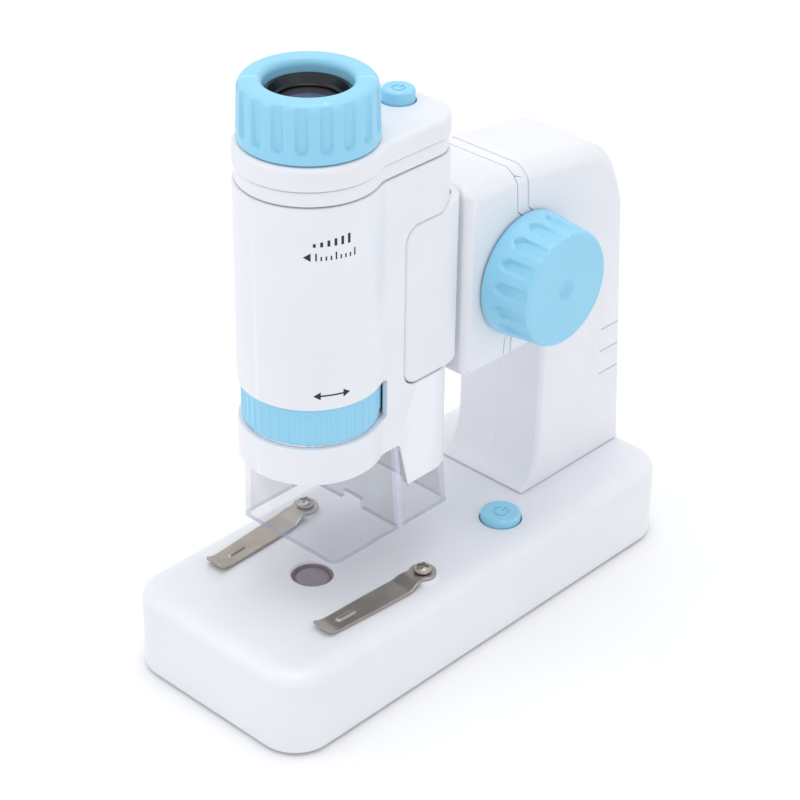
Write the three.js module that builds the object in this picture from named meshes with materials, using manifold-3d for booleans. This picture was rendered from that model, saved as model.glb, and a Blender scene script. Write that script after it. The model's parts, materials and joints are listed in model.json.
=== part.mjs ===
// A desk microscope: a pocket microscope barrel held in a cradle that a knob raises and lowers on an arm.
// Millimetres, +Z up, origin at the middle of the base's footprint on the table. The eyepiece faces up,
// the stage end of the base is -Y and the arm is at +Y.
import * as THREE from 'three';
import { mergeVertices } from 'three/addons/utils/BufferGeometryUtils.js';
import { ConvexGeometry } from 'three/addons/geometries/ConvexGeometry.js';
import Module from 'manifold-3d';

const wasm = await Module();
wasm.setup();

// ---- fits ----
const gap = 0.3; // between fixed pieces that touch
const slideGap = 0.5; // between pieces that move past each other
const beyond = 1; // how far a cutting tool runs past what it cuts
const far = 200; // reach of a tool that runs right through the model

// ---- screws ----
const screwHeadRadius = 2.6;
const screwHeadHeight = 1.2;
const screwShankRadius = 1;
const screwSlotHalfLength = 1.8;
const screwSlotHalfWidth = 0.35;
const screwSlotDepth = 0.5;
const screwPilotRadius = screwShankRadius + gap;
const screwPassRadius = screwShankRadius + 0.7;
const screwSinkRadius = screwHeadRadius + 0.4;
const plateScrewLength = 11;
const plateSinkDepth = 1.6;
const spareThread = 2; // how much deeper a screw's hole is than the screw
const armBossRadius = 3.6;
const armSinkDepth = 2;
const cradleScrewHeadRadius = 2.3;
const cradleScrewShankRadius = 0.8;

// ---- base ----
const baseLength = 165;
const baseWidth = 70;
const baseCorner = 12;
const baseWall = 2.2;
const baseRoof = 2.4;
const baseBevelRise = 4.2;
const baseBevelInset = 7;
const baseWallHeight = 22.3;
const footHeight = 1;
const footRadius = 5;
const footRecess = 0.5;
const plateThickness = 2.4;
const screwPostRadius = 3.2;
const stageZ = footHeight + baseWallHeight + baseBevelRise; // top of the base
const roofUnderZ = stageZ - baseRoof;
const plateTopZ = footHeight + plateThickness;

// ---- optical axis: everything above the stage is laid out from it ----
const axisFromFront = 41.5;
const axisY = axisFromFront - baseLength / 2;
const baseRearY = baseLength - axisFromFront; // rear of the base, from the optical axis
const baseFrontY = -axisFromFront;

// ---- stage ----
const windowRadius = 6.2;
const windowRecess = 1.5;
const lensThickness = 1.4;
const lensLip = 1.1;
const ledRadius = 2.5;
const stageBoardHalf = 9;
const boardMargin = 6;
const boardThickness = 1.4;
const clipX = 24.2;
const clipY = 21;
const clipLength = 39.7;
const clipThickness = 0.8;
const clipTipWidth = 7;
const clipWaistHalf = 3.1;
const clipWidestHalf = 3.95;
const clipWidestAt = 9; // from the screw
const clipLean = 2.2; // how far the tip stands nearer the window than the screw
const clipHubRadius = 4;
const clipBossHeight = 1.2;
const clipScrewHeadRadius = 2.65;
const clipScrewShank = 1.4;

// ---- push buttons ----
const baseButtonX = 20;
const baseButtonY = 60;
const baseButtonRadius = 6.1;
const baseButtonStand = 2.3;
const topButtonY = 33.7;
const topButtonRadius = 4.7;
const topButtonStand = 3.5;
const buttonTravel = 1;
const buttonFlange = 1.2;
const flangeLip = 1;
const switchSide = 6;
const switchHeight = 3.4;
const plungerHeight = 1.2;

// ---- AA cells ----
const cellRadius = 7.25;
const cellLength = 50.5;
const contactThickness = 0.6;
const contactHalf = 5;

// ---- arm and head, side view: distances from the optical axis and heights above the stage ----
const armHalfWidth = 16.5;
const armWall = 2.2;
const armEdge = 0.5;
const columnFrontY = 80.3;
const columnFootFrontY = 73.5;
const flareHeight = 18;
const toeHeight = 1.6;
const headBottom = 53;
const headTop = 112.5;
const headTopRear = 108.3;
const headTopRearY = 97;
const headFilletSize = 5;
const rearCornerY = 114;
const rearCornerHeight = 91;
const columnFootRearY = 120.5;
const coverSeamLowY = 62;
const coverSeamHighY = 65.8;
const coverSeamBulgeY = 87.7;
const coverSeamReach = 20; // how far the curve runs above and below the knob
const armScrewSpots = [[101, 92], [101, 20]];

// ---- rack and pinion ----
const knobHeight = 79.3;
const pinionTeeth = 12;
const gearModule = 1;
const pitchRadius = (pinionTeeth * gearModule) / 2;
const toothPitch = Math.PI * gearModule;
const toothHeight = 2;
const toothRootHalf = 0.95;
const toothTipHalf = 0.32;
const gearWidth = 7;
const shaftRadius = 2.5;
const bushRadius = 4.5;
const knobBackRadius = 19;
const knobFaceRadius = 17.4;
const knobThickness = 16;
const knobFlutes = 18;
const travelDown = 14.5;
const travelUp = 6;
const neckBottom = 74;
const neckTop = 90;
const neckHalf = 4.5;
const rackBottom = 70.6;
const rackTop = 93;
const rackBack = 5.2;

// ---- barrel, seen from above: a round front lobe on the optical axis and a flatter rear lobe ----
const barrelRadius = 20.3;
const barrelFlank = 17.5;
const barrelRearY = 42.1;
const barrelRearCorner = 10;
const barrelWall = 2;
const barrelBottom = 43.9;
const barrelRearBottom = 28.8;
const barrelTop = 139;
const bandBottom = 127.9;
const bandTop = 132.4;
const bandInset = 0.6;
const capEdge = 1.7;
const capRoof = 2;
const stepFrontY = 17.7;
const stepRearY = 21.2;

// ---- cradle ----
const cradleWall = 2.3;
const cradleFrontY = 19.2;
const cradleBottom = 61.8;
const cradleTop = 111.1;
const cradleRearLift = 2.6; // the top edge steps up by this towards the rear
const cradleLiftStartY = 32.5;
const cradleLiftEndY = 39;
const cradleCorner = 5.3;
const cradleRearCorner = 8.4;
const cradleRearY = barrelRearY + gap + cradleWall + 0.2;
const headFrontY = cradleRearY + slideGap + 0.1;

// ---- optics ----
const ringBottomRadius = 19;
const ringTopRadius = 18.6;
const ringHeight = 16.6;
const ringLip = 3.4;
const ringFlutes = 18;
const wellRadius = 11.8;
const neckOuterRadius = 14.5;
const neckInnerRadius = 12.2;
const capNeckHeight = 8;
const cellTop = 152.3;
const zoomTubeRadius = 11;
const zoomTubeWall = 1.5;
const zoomTubeBottom = 92;
const zoomTubeTop = 136;
const focusRingRadius = 19.4;
const focusRingInner = 15;
const focusBottom = 55.3;
const focusTop = 67.8;
// The window ends where the ring turns in behind the flanks' inner faces.
const focusWindowRearY = Math.sqrt(focusRingRadius ** 2 - (barrelFlank - barrelWall - slideGap) ** 2);
const focusRibs = 42;
const carrierRadius = 14.4;
const carrierWall = 2.2;
const carrierBottom = 50.5;
const carrierTop = 72;
const objectiveRadius = 5;

// ---- clear hood ----
const hoodBottom = 17;
const hoodWall = 1.5;
const hoodHalfWidth = 19;
const hoodFrontY = -10;
const hoodRearY = 38;
const hoodCorner = 3;
const hoodNeckHeight = 5;
const hoodNeckWall = 1.3;

// ---------------------------------------------------------------- solids

function toSolid(geometry) {
  geometry.deleteAttribute('normal');
  geometry.deleteAttribute('uv');
  const merged = mergeVertices(geometry, 1e-4);
  const corners = merged.index.array;
  const triangles = [];
  for (let i = 0; i < corners.length; i += 3) {
    const [a, b, c] = [corners[i], corners[i + 1], corners[i + 2]];
    if (a !== b && b !== c && c !== a) triangles.push(a, b, c);
  }
  return new wasm.Manifold(new wasm.Mesh({
    numProp: 3,
    vertProperties: new Float32Array(merged.attributes.position.array),
    triVerts: new Uint32Array(triangles),
  }));
}

function toGeometry(solid) {
  const mesh = solid.getMesh();
  const geometry = new THREE.BufferGeometry();
  geometry.setAttribute('position', new THREE.BufferAttribute(mesh.vertProperties, 3));
  geometry.setIndex(new THREE.BufferAttribute(mesh.triVerts, 1));
  geometry.computeVertexNormals();
  return geometry;
}

function unite(solids) {
  return solids.reduce((whole, solid) => whole.add(solid));
}

function cut(solid, tools) {
  return tools.reduce((rest, tool) => rest.subtract(tool), solid);
}

function box(x0, x1, y0, y1, z0, z1) {
  const geometry = new THREE.BoxGeometry(x1 - x0, y1 - y0, z1 - z0);
  geometry.translate((x0 + x1) / 2, (y0 + y1) / 2, (z0 + z1) / 2);
  return toSolid(geometry);
}

// A drum standing on z0, with its two radii.
function drum(x, y, radius, z0, z1, segments = 20, topRadius = radius) {
  const geometry = new THREE.CylinderGeometry(topRadius, radius, z1 - z0, segments);
  geometry.rotateX(Math.PI / 2);
  geometry.translate(x, y, (z0 + z1) / 2);
  return toSolid(geometry);
}

// A drum lying along X.
function crossDrum(y, z, radius, x0, x1, segments = 20, endRadius = radius) {
  const geometry = new THREE.CylinderGeometry(endRadius, radius, x1 - x0, segments);
  geometry.rotateZ(-Math.PI / 2);
  geometry.translate((x0 + x1) / 2, y, z);
  return toSolid(geometry);
}

// A drum lying along Y.
function longDrum(x, z, radius, y0, y1, segments = 16) {
  const geometry = new THREE.CylinderGeometry(radius, radius, y1 - y0, segments);
  geometry.translate(x, (y0 + y1) / 2, z);
  return toSolid(geometry);
}

// A turned piece about the optical axis: its profile is [radius, height] corners.
function turned(profile, segments = 32) {
  const geometry = new THREE.LatheGeometry(profile.map(([r, z]) => new THREE.Vector2(r, z)), segments);
  geometry.rotateX(Math.PI / 2);
  return toSolid(geometry);
}

function rise(shape, z0, z1, curveSegments = 5) {
  const geometry = new THREE.ExtrudeGeometry(shape, { depth: z1 - z0, bevelEnabled: false, curveSegments });
  geometry.translate(0, 0, z0);
  return toSolid(geometry);
}

// A side-view shape, drawn as (y, height), made thick along X.
function across(shape, x0, x1, bevel = 0) {
  const geometry = new THREE.ExtrudeGeometry(shape, {
    depth: x1 - x0 - 2 * bevel,
    bevelEnabled: bevel > 0,
    bevelSize: bevel,
    bevelOffset: -bevel,
    bevelThickness: bevel,
    bevelSegments: 1,
    curveSegments: 6,
  });
  const alongX = new THREE.Matrix4().makeBasis(
    new THREE.Vector3(0, 1, 0),
    new THREE.Vector3(0, 0, 1),
    new THREE.Vector3(1, 0, 0),
  );
  geometry.translate(0, 0, x0 + bevel);
  geometry.applyMatrix4(alongX);
  return toSolid(geometry);
}

function roundedRect(x0, x1, y0, y1, r) {
  const shape = new THREE.Shape();
  shape.moveTo(x0 + r, y0);
  shape.lineTo(x1 - r, y0);
  shape.absarc(x1 - r, y0 + r, r, -Math.PI / 2, 0);
  shape.lineTo(x1, y1 - r);
  shape.absarc(x1 - r, y1 - r, r, 0, Math.PI / 2);
  shape.lineTo(x0 + r, y1);
  shape.absarc(x0 + r, y1 - r, r, Math.PI / 2, Math.PI);
  shape.lineTo(x0, y0 + r);
  shape.absarc(x0 + r, y0 + r, r, Math.PI, 1.5 * Math.PI);
  return shape;
}

function polygon(points) {
  return new THREE.Shape(points.map(([x, y]) => new THREE.Vector2(x, y)));
}

// A drawn shape with a soft quarter-round along its top edge, cut flat at its bottom.
function softTopped(insetOutline, edgeInset, edgeRise, z0, z1) {
  const geometry = new THREE.ExtrudeGeometry(insetOutline, {
    depth: z1 - z0,
    bevelEnabled: true,
    bevelSize: edgeInset,
    bevelThickness: edgeRise,
    bevelSegments: 3,
    curveSegments: 4,
  });
  geometry.translate(0, 0, z0 - edgeRise);
  const reach = baseLength;
  return toSolid(geometry).subtract(box(-reach, reach, -reach, reach, z0 - 3 * edgeRise, z0));
}

// ---------------------------------------------------------------- the scene graph

const microscope = new THREE.Group();
const onAxis = new THREE.Group(); // pieces laid out from the optical axis, heights from the table
onAxis.position.y = axisY;
const aboveStage = new THREE.Group(); // the same, with heights from the stage
aboveStage.position.z = stageZ;
onAxis.add(aboveStage);
microscope.add(onAxis);

const finishes = {
  white: { color: 0xeef0f4, roughness: 0.38, metalness: 0 },
  blue: { color: 0x8ed3f2, roughness: 0.36, metalness: 0 },
  steel: { color: 0xb4b2aa, roughness: 0.32, metalness: 0.9 },
  clear: { color: 0xdcdcf0, roughness: 0.05, metalness: 0 },
  glass: { color: 0x8f8894, roughness: 0.08, metalness: 0 },
  black: { color: 0x16171a, roughness: 0.3, metalness: 0 },
  rubber: { color: 0x3a3b3e, roughness: 0.85, metalness: 0 },
  brass: { color: 0xc9a45c, roughness: 0.35, metalness: 0.9 },
  board: { color: 0x2f6b45, roughness: 0.6, metalness: 0 },
  cell: { color: 0x3c4a58, roughness: 0.4, metalness: 0.3 },
};

function piece(group, name, solid, finish) {
  const mesh = new THREE.Mesh(toGeometry(solid), new THREE.MeshStandardMaterial(finishes[finish]));
  mesh.name = name;
  group.add(mesh);
}

// ---------------------------------------------------------------- base

function baseBlock(wall, topZ, bottomZ) {
  const inset = wall + baseBevelInset;
  const outline = roundedRect(
    inset - baseWidth / 2, baseWidth / 2 - inset, baseFrontY + inset, baseRearY - inset, baseCorner - inset,
  );
  return softTopped(outline, baseBevelInset, baseBevelRise, bottomZ, topZ);
}

const screwX = baseWidth / 2 - 7.5;
const screwSpots = [-1, 1].flatMap((side) => [baseFrontY + 8, baseRearY - 8].map((y) => [side * screwX, y]));
const footX = baseWidth / 2 - 9.5;
const footSpots = [-1, 1].flatMap((side) => [baseFrontY + 20, baseRearY - 20].map((y) => [side * footX, y]));
const cellsFrontY = 50;
const cellsRearY = cellsFrontY + cellLength;
const doorHalf = 18;
const doorFrontY = cellsFrontY - 4;
const doorRearY = cellsRearY + 9;
const doorScrewY = cellsRearY + 5;
const switchTopZ = roofUnderZ - buttonFlange - buttonTravel - 2 * gap;
const boardZ = switchTopZ - plungerHeight - switchHeight - gap - boardThickness;

function screwHole(x, y) {
  return drum(x, y, screwPilotRadius, footHeight, footHeight + plateScrewLength + spareThread, 12);
}

function baseShell() {
  const posts = screwSpots.map(([x, y]) => drum(x, y, screwPostRadius, plateTopZ + gap, roofUnderZ + 1, 16));
  const doorPost = drum(0, doorScrewY, screwPostRadius, plateTopZ + gap, roofUnderZ + 1, 16);
  const bosses = [-1, 1].map((side) => drum(side * clipX, clipY, clipHubRadius, roofUnderZ - 4, stageZ + clipBossHeight));
  const hollow = baseBlock(baseWall, roofUnderZ, footHeight - beyond);
  const solid = unite([baseBlock(0, stageZ, footHeight).subtract(hollow), ...posts, doorPost, ...bosses]);
  return cut(solid, [
    ...screwSpots.map(([x, y]) => screwHole(x, y)),
    screwHole(0, doorScrewY),
    ...[-1, 1].map((side) => drum(side * clipX, clipY, clipScrewShank + gap, roofUnderZ - 3, stageZ + 2, 12)),
    drum(0, 0, windowRadius, roofUnderZ - beyond, stageZ + beyond, 24),
    drum(0, 0, windowRadius + lensLip + gap, roofUnderZ - beyond, stageZ - windowRecess + gap, 24),
    drum(baseButtonX, baseButtonY, baseButtonRadius + gap, roofUnderZ - beyond, stageZ + beyond, 24),
  ]);
}

// The hole a screw passes through, and the sink its head sits in.
function screwPassage(x, y) {
  return [
    drum(x, y, screwPassRadius, footHeight - beyond, plateTopZ + beyond, 12),
    drum(x, y, screwSinkRadius, footHeight - beyond, footHeight + plateSinkDepth, 16),
  ];
}

function bottomPlate() {
  const edge = baseWall + gap;
  const outline = roundedRect(
    edge - baseWidth / 2, baseWidth / 2 - edge, baseFrontY + edge, baseRearY - edge, baseCorner - edge,
  );
  return cut(rise(outline, footHeight, plateTopZ), [
    ...screwSpots.flatMap(([x, y]) => screwPassage(x, y)),
    ...footSpots.map(([x, y]) => drum(x, y, footRadius + gap, footHeight - beyond, footHeight + footRecess)),
    box(-doorHalf - gap, doorHalf + gap, doorFrontY - gap, doorRearY + gap, 0, plateTopZ + beyond),
  ]);
}

function plateScrew(x, y) {
  const headZ = footHeight + 0.1;
  const head = drum(x, y, screwHeadRadius, headZ, headZ + screwHeadHeight, 16);
  const shank = drum(x, y, screwShankRadius, headZ + 0.9, footHeight + plateScrewLength, 12);
  const slot = box(
    x - screwSlotHalfLength, x + screwSlotHalfLength, y - screwSlotHalfWidth, y + screwSlotHalfWidth,
    footHeight - beyond, headZ + screwSlotDepth,
  );
  return head.add(shank).subtract(slot);
}

function batteryDoor() {
  const door = box(-doorHalf, doorHalf, doorFrontY, doorRearY, footHeight, plateTopZ);
  return cut(door, screwPassage(0, doorScrewY));
}

piece(onAxis, 'base_shell', baseShell(), 'white');
piece(onAxis, 'base_bottom_plate', bottomPlate(), 'white');
piece(onAxis, 'battery_door', batteryDoor(), 'white');
piece(onAxis, 'battery_door_screw', plateScrew(0, doorScrewY), 'steel');
screwSpots.forEach(([x, y], i) => piece(onAxis, `base_screw_${i + 1}`, plateScrew(x, y), 'steel'));
footSpots.forEach(([x, y], i) => {
  piece(onAxis, `rubber_foot_${i + 1}`, drum(x, y, footRadius, 0, footHeight + footRecess - gap), 'rubber');
});
const baseCellZ = plateTopZ + slideGap + cellRadius;
[-1, 1].forEach((side, i) => {
  const x = side * (cellRadius + slideGap);
  piece(onAxis, `base_cell_${i + 1}`, longDrum(x, baseCellZ, cellRadius, cellsFrontY, cellsRearY), 'cell');
});
[['front', cellsFrontY - gap - contactThickness], ['rear', cellsRearY + gap]].forEach(([end, y]) => {
  const half = 2 * cellRadius;
  const plate = box(-half, half, y, y + contactThickness, plateTopZ + gap, baseCellZ + cellRadius);
  piece(onAxis, `base_contact_${end}`, plate, 'steel');
});

// The stage lamp and the push button stand on one board.
const lensTopZ = stageZ - windowRecess;
piece(onAxis, 'stage_window', drum(0, 0, windowRadius + lensLip, lensTopZ - lensThickness, lensTopZ, 24), 'glass');
const ledTopZ = lensTopZ - lensThickness - slideGap;
const boardTopZ = boardZ + boardThickness;
const boardRightX = baseButtonX + boardMargin;
piece(onAxis, 'stage_led', turned([
  [0, boardTopZ + gap], [ledRadius, boardTopZ + gap], [ledRadius, ledTopZ - ledRadius],
  [ledRadius * 0.7, ledTopZ - ledRadius * 0.3], [0, ledTopZ],
], 16), 'clear');
piece(onAxis, 'base_circuit_board', unite([
  box(-stageBoardHalf, boardRightX, -stageBoardHalf, cellsFrontY - 5, boardZ, boardTopZ),
  box(baseButtonX - 4, boardRightX, -stageBoardHalf, baseButtonY + 8, boardZ, boardTopZ),
]), 'board');

function tactSwitch(x, y, bodyZ) {
  const half = switchSide / 2;
  const plunger = drum(x, y, 1.7, bodyZ + switchHeight - 0.1, bodyZ + switchHeight + plungerHeight, 16);
  return box(x - half, x + half, y - half, y + half, bodyZ, bodyZ + switchHeight).add(plunger);
}

// A button with a shallow dished face, and a flange that keeps it under its roof.
function pushButton(x, y, radius, roofUnder, topZ) {
  const flangeZ = roofUnder - gap - buttonFlange;
  return unite([
    drum(x, y, radius, flangeZ, topZ - 0.6, 24),
    drum(x, y, radius, topZ - 0.6, topZ, 24, radius - 0.6),
    drum(x, y, radius + flangeLip, flangeZ, flangeZ + buttonFlange),
  ]).subtract(drum(x, y, radius - 2.4, topZ - 0.25, topZ + beyond, 24, radius - 0.4));
}

piece(onAxis, 'base_switch', tactSwitch(baseButtonX, baseButtonY, boardTopZ + gap), 'black');
const baseButtonSolid = pushButton(
  baseButtonX, baseButtonY, baseButtonRadius, roofUnderZ, stageZ + baseButtonStand,
);
piece(onAxis, 'base_power_button', baseButtonSolid, 'blue');

// ---------------------------------------------------------------- stage clips

function stageClip(side) {
  const hub = clipBossHeight + gap;
  const flat = 0.4;
  const tipY = clipY - clipLength;
  const path = [
    [clipY + clipHubRadius, hub], [clipY - 5, hub], [clipY - 9, flat], [tipY + 5, flat], [tipY, flat + 1.4],
  ];
  const upper = path.map(([y, z]) => [y, z + clipThickness]).reverse();
  const side2d = polygon([...path, ...upper]);
  const waistAt = -3;
  const tipHalf = clipTipWidth / 2;
  const midLean = (clipLean * clipWidestAt) / clipLength;
  const plan = new THREE.Shape();
  plan.moveTo(-clipWaistHalf, waistAt);
  plan.lineTo(-clipWidestHalf - midLean, -clipWidestAt);
  plan.lineTo(-tipHalf - clipLean, -clipLength + 1);
  plan.lineTo(-tipHalf - clipLean + 1, -clipLength);
  plan.lineTo(tipHalf - clipLean - 1, -clipLength);
  plan.lineTo(tipHalf - clipLean, -clipLength + 1);
  plan.lineTo(clipWidestHalf - midLean, -clipWidestAt);
  plan.lineTo(clipWaistHalf, waistAt);
  plan.lineTo(clipHubRadius, 0);
  plan.absarc(0, 0, clipHubRadius, 0, Math.PI);
  const outline = rise(plan, -1, 8);
  const placed = side > 0 ? outline : outline.mirror([1, 0, 0]);
  return placed
    .translate([side * clipX, clipY, 0])
    .intersect(across(side2d, side * clipX - 9, side * clipX + 9))
    .subtract(drum(side * clipX, clipY, clipScrewShank + gap, -1, 8, 12));
}

function clipScrew(side) {
  const x = side * clipX;
  const headZ = clipBossHeight + 2 * gap + clipThickness;
  const head = drum(x, clipY, clipScrewHeadRadius, headZ, headZ + 1.8, 20, clipScrewHeadRadius * 0.75);
  const slots = [
    box(x - 1.4, x + 1.4, clipY - 0.3, clipY + 0.3, headZ + 1, headZ + 3),
    box(x - 0.3, x + 0.3, clipY - 1.4, clipY + 1.4, headZ + 1, headZ + 3),
  ];
  return cut(head.add(drum(x, clipY, clipScrewShank, -baseRoof - 2.5, headZ + 0.5, 12)), slots);
}

[['left', -1], ['right', 1]].forEach(([name, side]) => {
  piece(aboveStage, `stage_clip_${name}`, stageClip(side), 'steel');
  piece(aboveStage, `clip_screw_${name}`, clipScrew(side), 'steel');
});

// ---------------------------------------------------------------- arm and head

function armOutline(inset) {
  const front = headFrontY + inset;
  const bottom = headBottom + inset;
  const column = columnFrontY + inset;
  const top = headTop - inset;
  const shape = new THREE.Shape();
  shape.moveTo(columnFootFrontY + inset, gap);
  shape.lineTo(columnFootFrontY + inset, toeHeight);
  shape.quadraticCurveTo(column - 0.8, toeHeight + 1.4, column, flareHeight);
  shape.lineTo(column, bottom - headFilletSize);
  shape.quadraticCurveTo(column, bottom, column - headFilletSize, bottom);
  shape.lineTo(front + 2, bottom);
  shape.quadraticCurveTo(front, bottom, front, bottom + 2);
  shape.lineTo(front, top - 3);
  shape.quadraticCurveTo(front, top, front + 3, top);
  shape.lineTo(coverSeamHighY + 1.2, top);
  shape.lineTo(headTopRearY, headTopRear - inset);
  shape.quadraticCurveTo(rearCornerY - 3.5 - inset, headTopRear - 2 - inset, rearCornerY - inset, rearCornerHeight);
  shape.lineTo(columnFootRearY - inset, gap);
  return shape;
}

// The part of the side view in front of the curved seam between head cover and arm.
function coverRegion(offset) {
  const low = headBottom - 3;
  const high = headTop + 3;
  const shape = new THREE.Shape();
  shape.moveTo(coverSeamLowY + offset, low);
  shape.lineTo(coverSeamLowY + 0.6 + offset, knobHeight - coverSeamReach);
  shape.quadraticCurveTo(
    coverSeamBulgeY + offset, knobHeight, coverSeamHighY + 0.4 + offset, knobHeight + coverSeamReach,
  );
  shape.lineTo(coverSeamHighY - 0.8 + offset, high);
  shape.lineTo(headFrontY - 5, high);
  shape.lineTo(headFrontY - 5, low);
  return shape;
}

const reachX = armHalfWidth + 5;
const armHollow = across(armOutline(armWall), armWall - armHalfWidth, armHalfWidth - armWall)
  .add(box(armWall - armHalfWidth, armHalfWidth - armWall, columnFootFrontY + armWall + 2,
    columnFootRearY - armWall - 1, -1, 3));
const armTube = across(armOutline(0), -armHalfWidth, armHalfWidth, armEdge).subtract(armHollow);
const shaftY = headFrontY + 24;

function headCover() {
  const slot = box(
    -neckHalf - slideGap, neckHalf + slideGap, headFrontY - beyond, headFrontY + armWall + beyond,
    neckBottom - travelDown - slideGap, neckTop + travelUp + slideGap,
  );
  return cut(armTube.intersect(across(coverRegion(-gap / 2), -reachX, reachX)), [
    slot,
    crossDrum(shaftY, knobHeight, bushRadius + gap, -reachX, reachX),
  ]);
}

function armShell(side) {
  const bossEnd = armHalfWidth - 1.5;
  const outside = -armHalfWidth - beyond;
  const bosses = armScrewSpots.map(([y, z]) => crossDrum(y, z, armBossRadius, -bossEnd, bossEnd, 16));
  const holes = armScrewSpots.flatMap(([y, z]) => [
    crossDrum(y, z, screwPilotRadius, outside, armHalfWidth - 3, 12),
    crossDrum(y, z, screwSinkRadius, outside, armSinkDepth - armHalfWidth, 16),
  ]);
  const whole = cut(unite([armTube, ...bosses]), [
    across(coverRegion(gap / 2), -reachX, reachX), ...holes,
  ]);
  const half = side > 0
    ? box(gap / 2, reachX, 0, far, -5, far)
    : box(-reachX, -gap / 2, 0, far, -5, far);
  return whole.intersect(half);
}

function armScrew([y, z]) {
  const outer = -armHalfWidth + 0.4;
  const head = crossDrum(y, z, screwHeadRadius, outer, outer + screwHeadHeight, 16);
  const slot = box(
    outer - beyond, outer + screwSlotDepth, y - screwSlotHalfLength, y + screwSlotHalfLength,
    z - screwSlotHalfWidth, z + screwSlotHalfWidth,
  );
  const shank = crossDrum(y, z, screwShankRadius, outer + 1, armHalfWidth - 5, 12);
  return head.add(shank).subtract(slot);
}

piece(aboveStage, 'arm_left_shell', armShell(-1), 'white');
piece(aboveStage, 'arm_right_shell', armShell(1), 'white');
piece(aboveStage, 'head_front_cover', headCover(), 'white');
armScrewSpots.forEach((spot, i) => piece(aboveStage, `arm_screw_${i + 1}`, armScrew(spot), 'steel'));

// ---------------------------------------------------------------- focus drive

function knob(side) {
  const inner = armHalfWidth + slideGap;
  const outer = inner + knobThickness;
  const blunt = 1.4;
  const body = unite([
    crossDrum(shaftY, knobHeight, knobBackRadius, inner, outer - blunt, knobFlutes * 2, knobFaceRadius + 0.2),
    crossDrum(shaftY, knobHeight, knobFaceRadius, outer - blunt, outer, knobFlutes * 2, knobFaceRadius - blunt),
  ]);
  const flutes = [];
  for (let i = 0; i < knobFlutes; i += 1) {
    const turn = ((i + 0.5) / knobFlutes) * 2 * Math.PI;
    const y = shaftY + (knobFaceRadius + 2.2) * Math.cos(turn);
    const z = knobHeight + (knobFaceRadius + 2.2) * Math.sin(turn);
    flutes.push(crossDrum(y, z, 2.6, inner + 4, outer + beyond, 6, 3.2));
  }
  const right = cut(body, [
    ...flutes,
    crossDrum(shaftY, knobHeight, shaftRadius + gap, inner - beyond, outer - 4, 16),
    crossDrum(shaftY, knobHeight, 1.2, outer - 0.8, outer + beyond, 16, 2.4),
  ]);
  return side > 0 ? right : right.mirror([1, 0, 0]);
}

// One tooth as a trapezium from root to tip, pointing along +Y.
function tooth(rootY, tipY) {
  const shape = polygon([
    [rootY, -toothRootHalf], [tipY, -toothTipHalf], [tipY, toothTipHalf], [rootY, toothRootHalf],
  ]);
  return across(shape, -gearWidth / 2, gearWidth / 2);
}

function pinion() {
  const root = pitchRadius - toothHeight / 2;
  const hub = crossDrum(0, 0, root, -gearWidth / 2, gearWidth / 2, pinionTeeth * 2);
  const teeth = [];
  for (let i = 0; i < pinionTeeth; i += 1) {
    teeth.push(tooth(root - 0.4, pitchRadius + toothHeight / 2).rotate([(i / pinionTeeth) * 360, 0, 0]));
  }
  return unite([hub, ...teeth])
    .subtract(crossDrum(0, 0, shaftRadius + gap / 2, -gearWidth, gearWidth, 16))
    .translate([0, shaftY, knobHeight]);
}

function rackCarriage() {
  const pitchLineY = shaftY - pitchRadius;
  const rootY = pitchLineY - toothHeight / 2 - 0.3;
  const bar = box(-neckHalf, neckHalf, rootY - rackBack, rootY, rackBottom, rackTop);
  const neck = box(-neckHalf, neckHalf, cradleRearY + gap, rootY - rackBack + 0.1, neckBottom, neckTop);
  const teeth = [];
  const count = Math.floor((rackTop - rackBottom) / toothPitch);
  for (let i = -count; i <= count; i += 1) {
    const z = knobHeight + (i + 0.5) * toothPitch;
    const fits = z - toothRootHalf > rackBottom && z + toothRootHalf < rackTop;
    if (fits) teeth.push(tooth(rootY - 0.1, pitchLineY + toothHeight / 2 - 0.3).translate([0, 0, z]));
  }
  const cradlePilot = cradleScrewShankRadius + gap;
  const screwHoles = cradleScrewHeights.map((z) => longDrum(0, z, cradlePilot, cradleRearY, cradleRearY + 9, 12));
  return cut(unite([bar, neck, ...teeth]), screwHoles);
}

const cradleScrewHeights = [neckBottom + 4, neckTop - 4];
piece(aboveStage, 'focus_knob_right', knob(1), 'blue');
piece(aboveStage, 'focus_knob_left', knob(-1), 'blue');
const shaftHalf = armHalfWidth + slideGap + knobThickness - 4 - gap;
piece(aboveStage, 'focus_shaft', crossDrum(shaftY, knobHeight, shaftRadius, -shaftHalf, shaftHalf, 16), 'steel');
piece(aboveStage, 'drive_pinion', pinion(), 'brass');
[['left', -1], ['right', 1]].forEach(([name, side]) => {
  const inner = side * (armHalfWidth - armWall);
  const outer = side * armHalfWidth;
  const [x0, x1] = side > 0 ? [inner, outer] : [outer, inner];
  const bush = crossDrum(shaftY, knobHeight, bushRadius, x0, x1)
    .subtract(crossDrum(shaftY, knobHeight, shaftRadius + gap / 2, x0 - beyond, x1 + beyond, 16));
  piece(aboveStage, `shaft_bush_${name}`, bush, 'brass');
});
piece(aboveStage, 'rack_carriage', rackCarriage(), 'black');

// ---------------------------------------------------------------- barrel outline and cradle

function barrelOutline(inset, flank = barrelFlank) {
  const front = barrelRadius - inset;
  const side = flank - inset;
  const rear = barrelRearY - inset;
  const corner = barrelRearCorner - inset;
  const turn = Math.acos(side / front);
  const shape = new THREE.Shape();
  shape.absarc(0, 0, front, Math.PI - turn, 2 * Math.PI + turn);
  shape.lineTo(side, rear - corner);
  shape.absarc(side - corner, rear - corner, corner, 0, Math.PI / 2);
  shape.lineTo(corner - side, rear);
  shape.absarc(corner - side, rear - corner, corner, Math.PI / 2, Math.PI);
  return shape;
}

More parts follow.
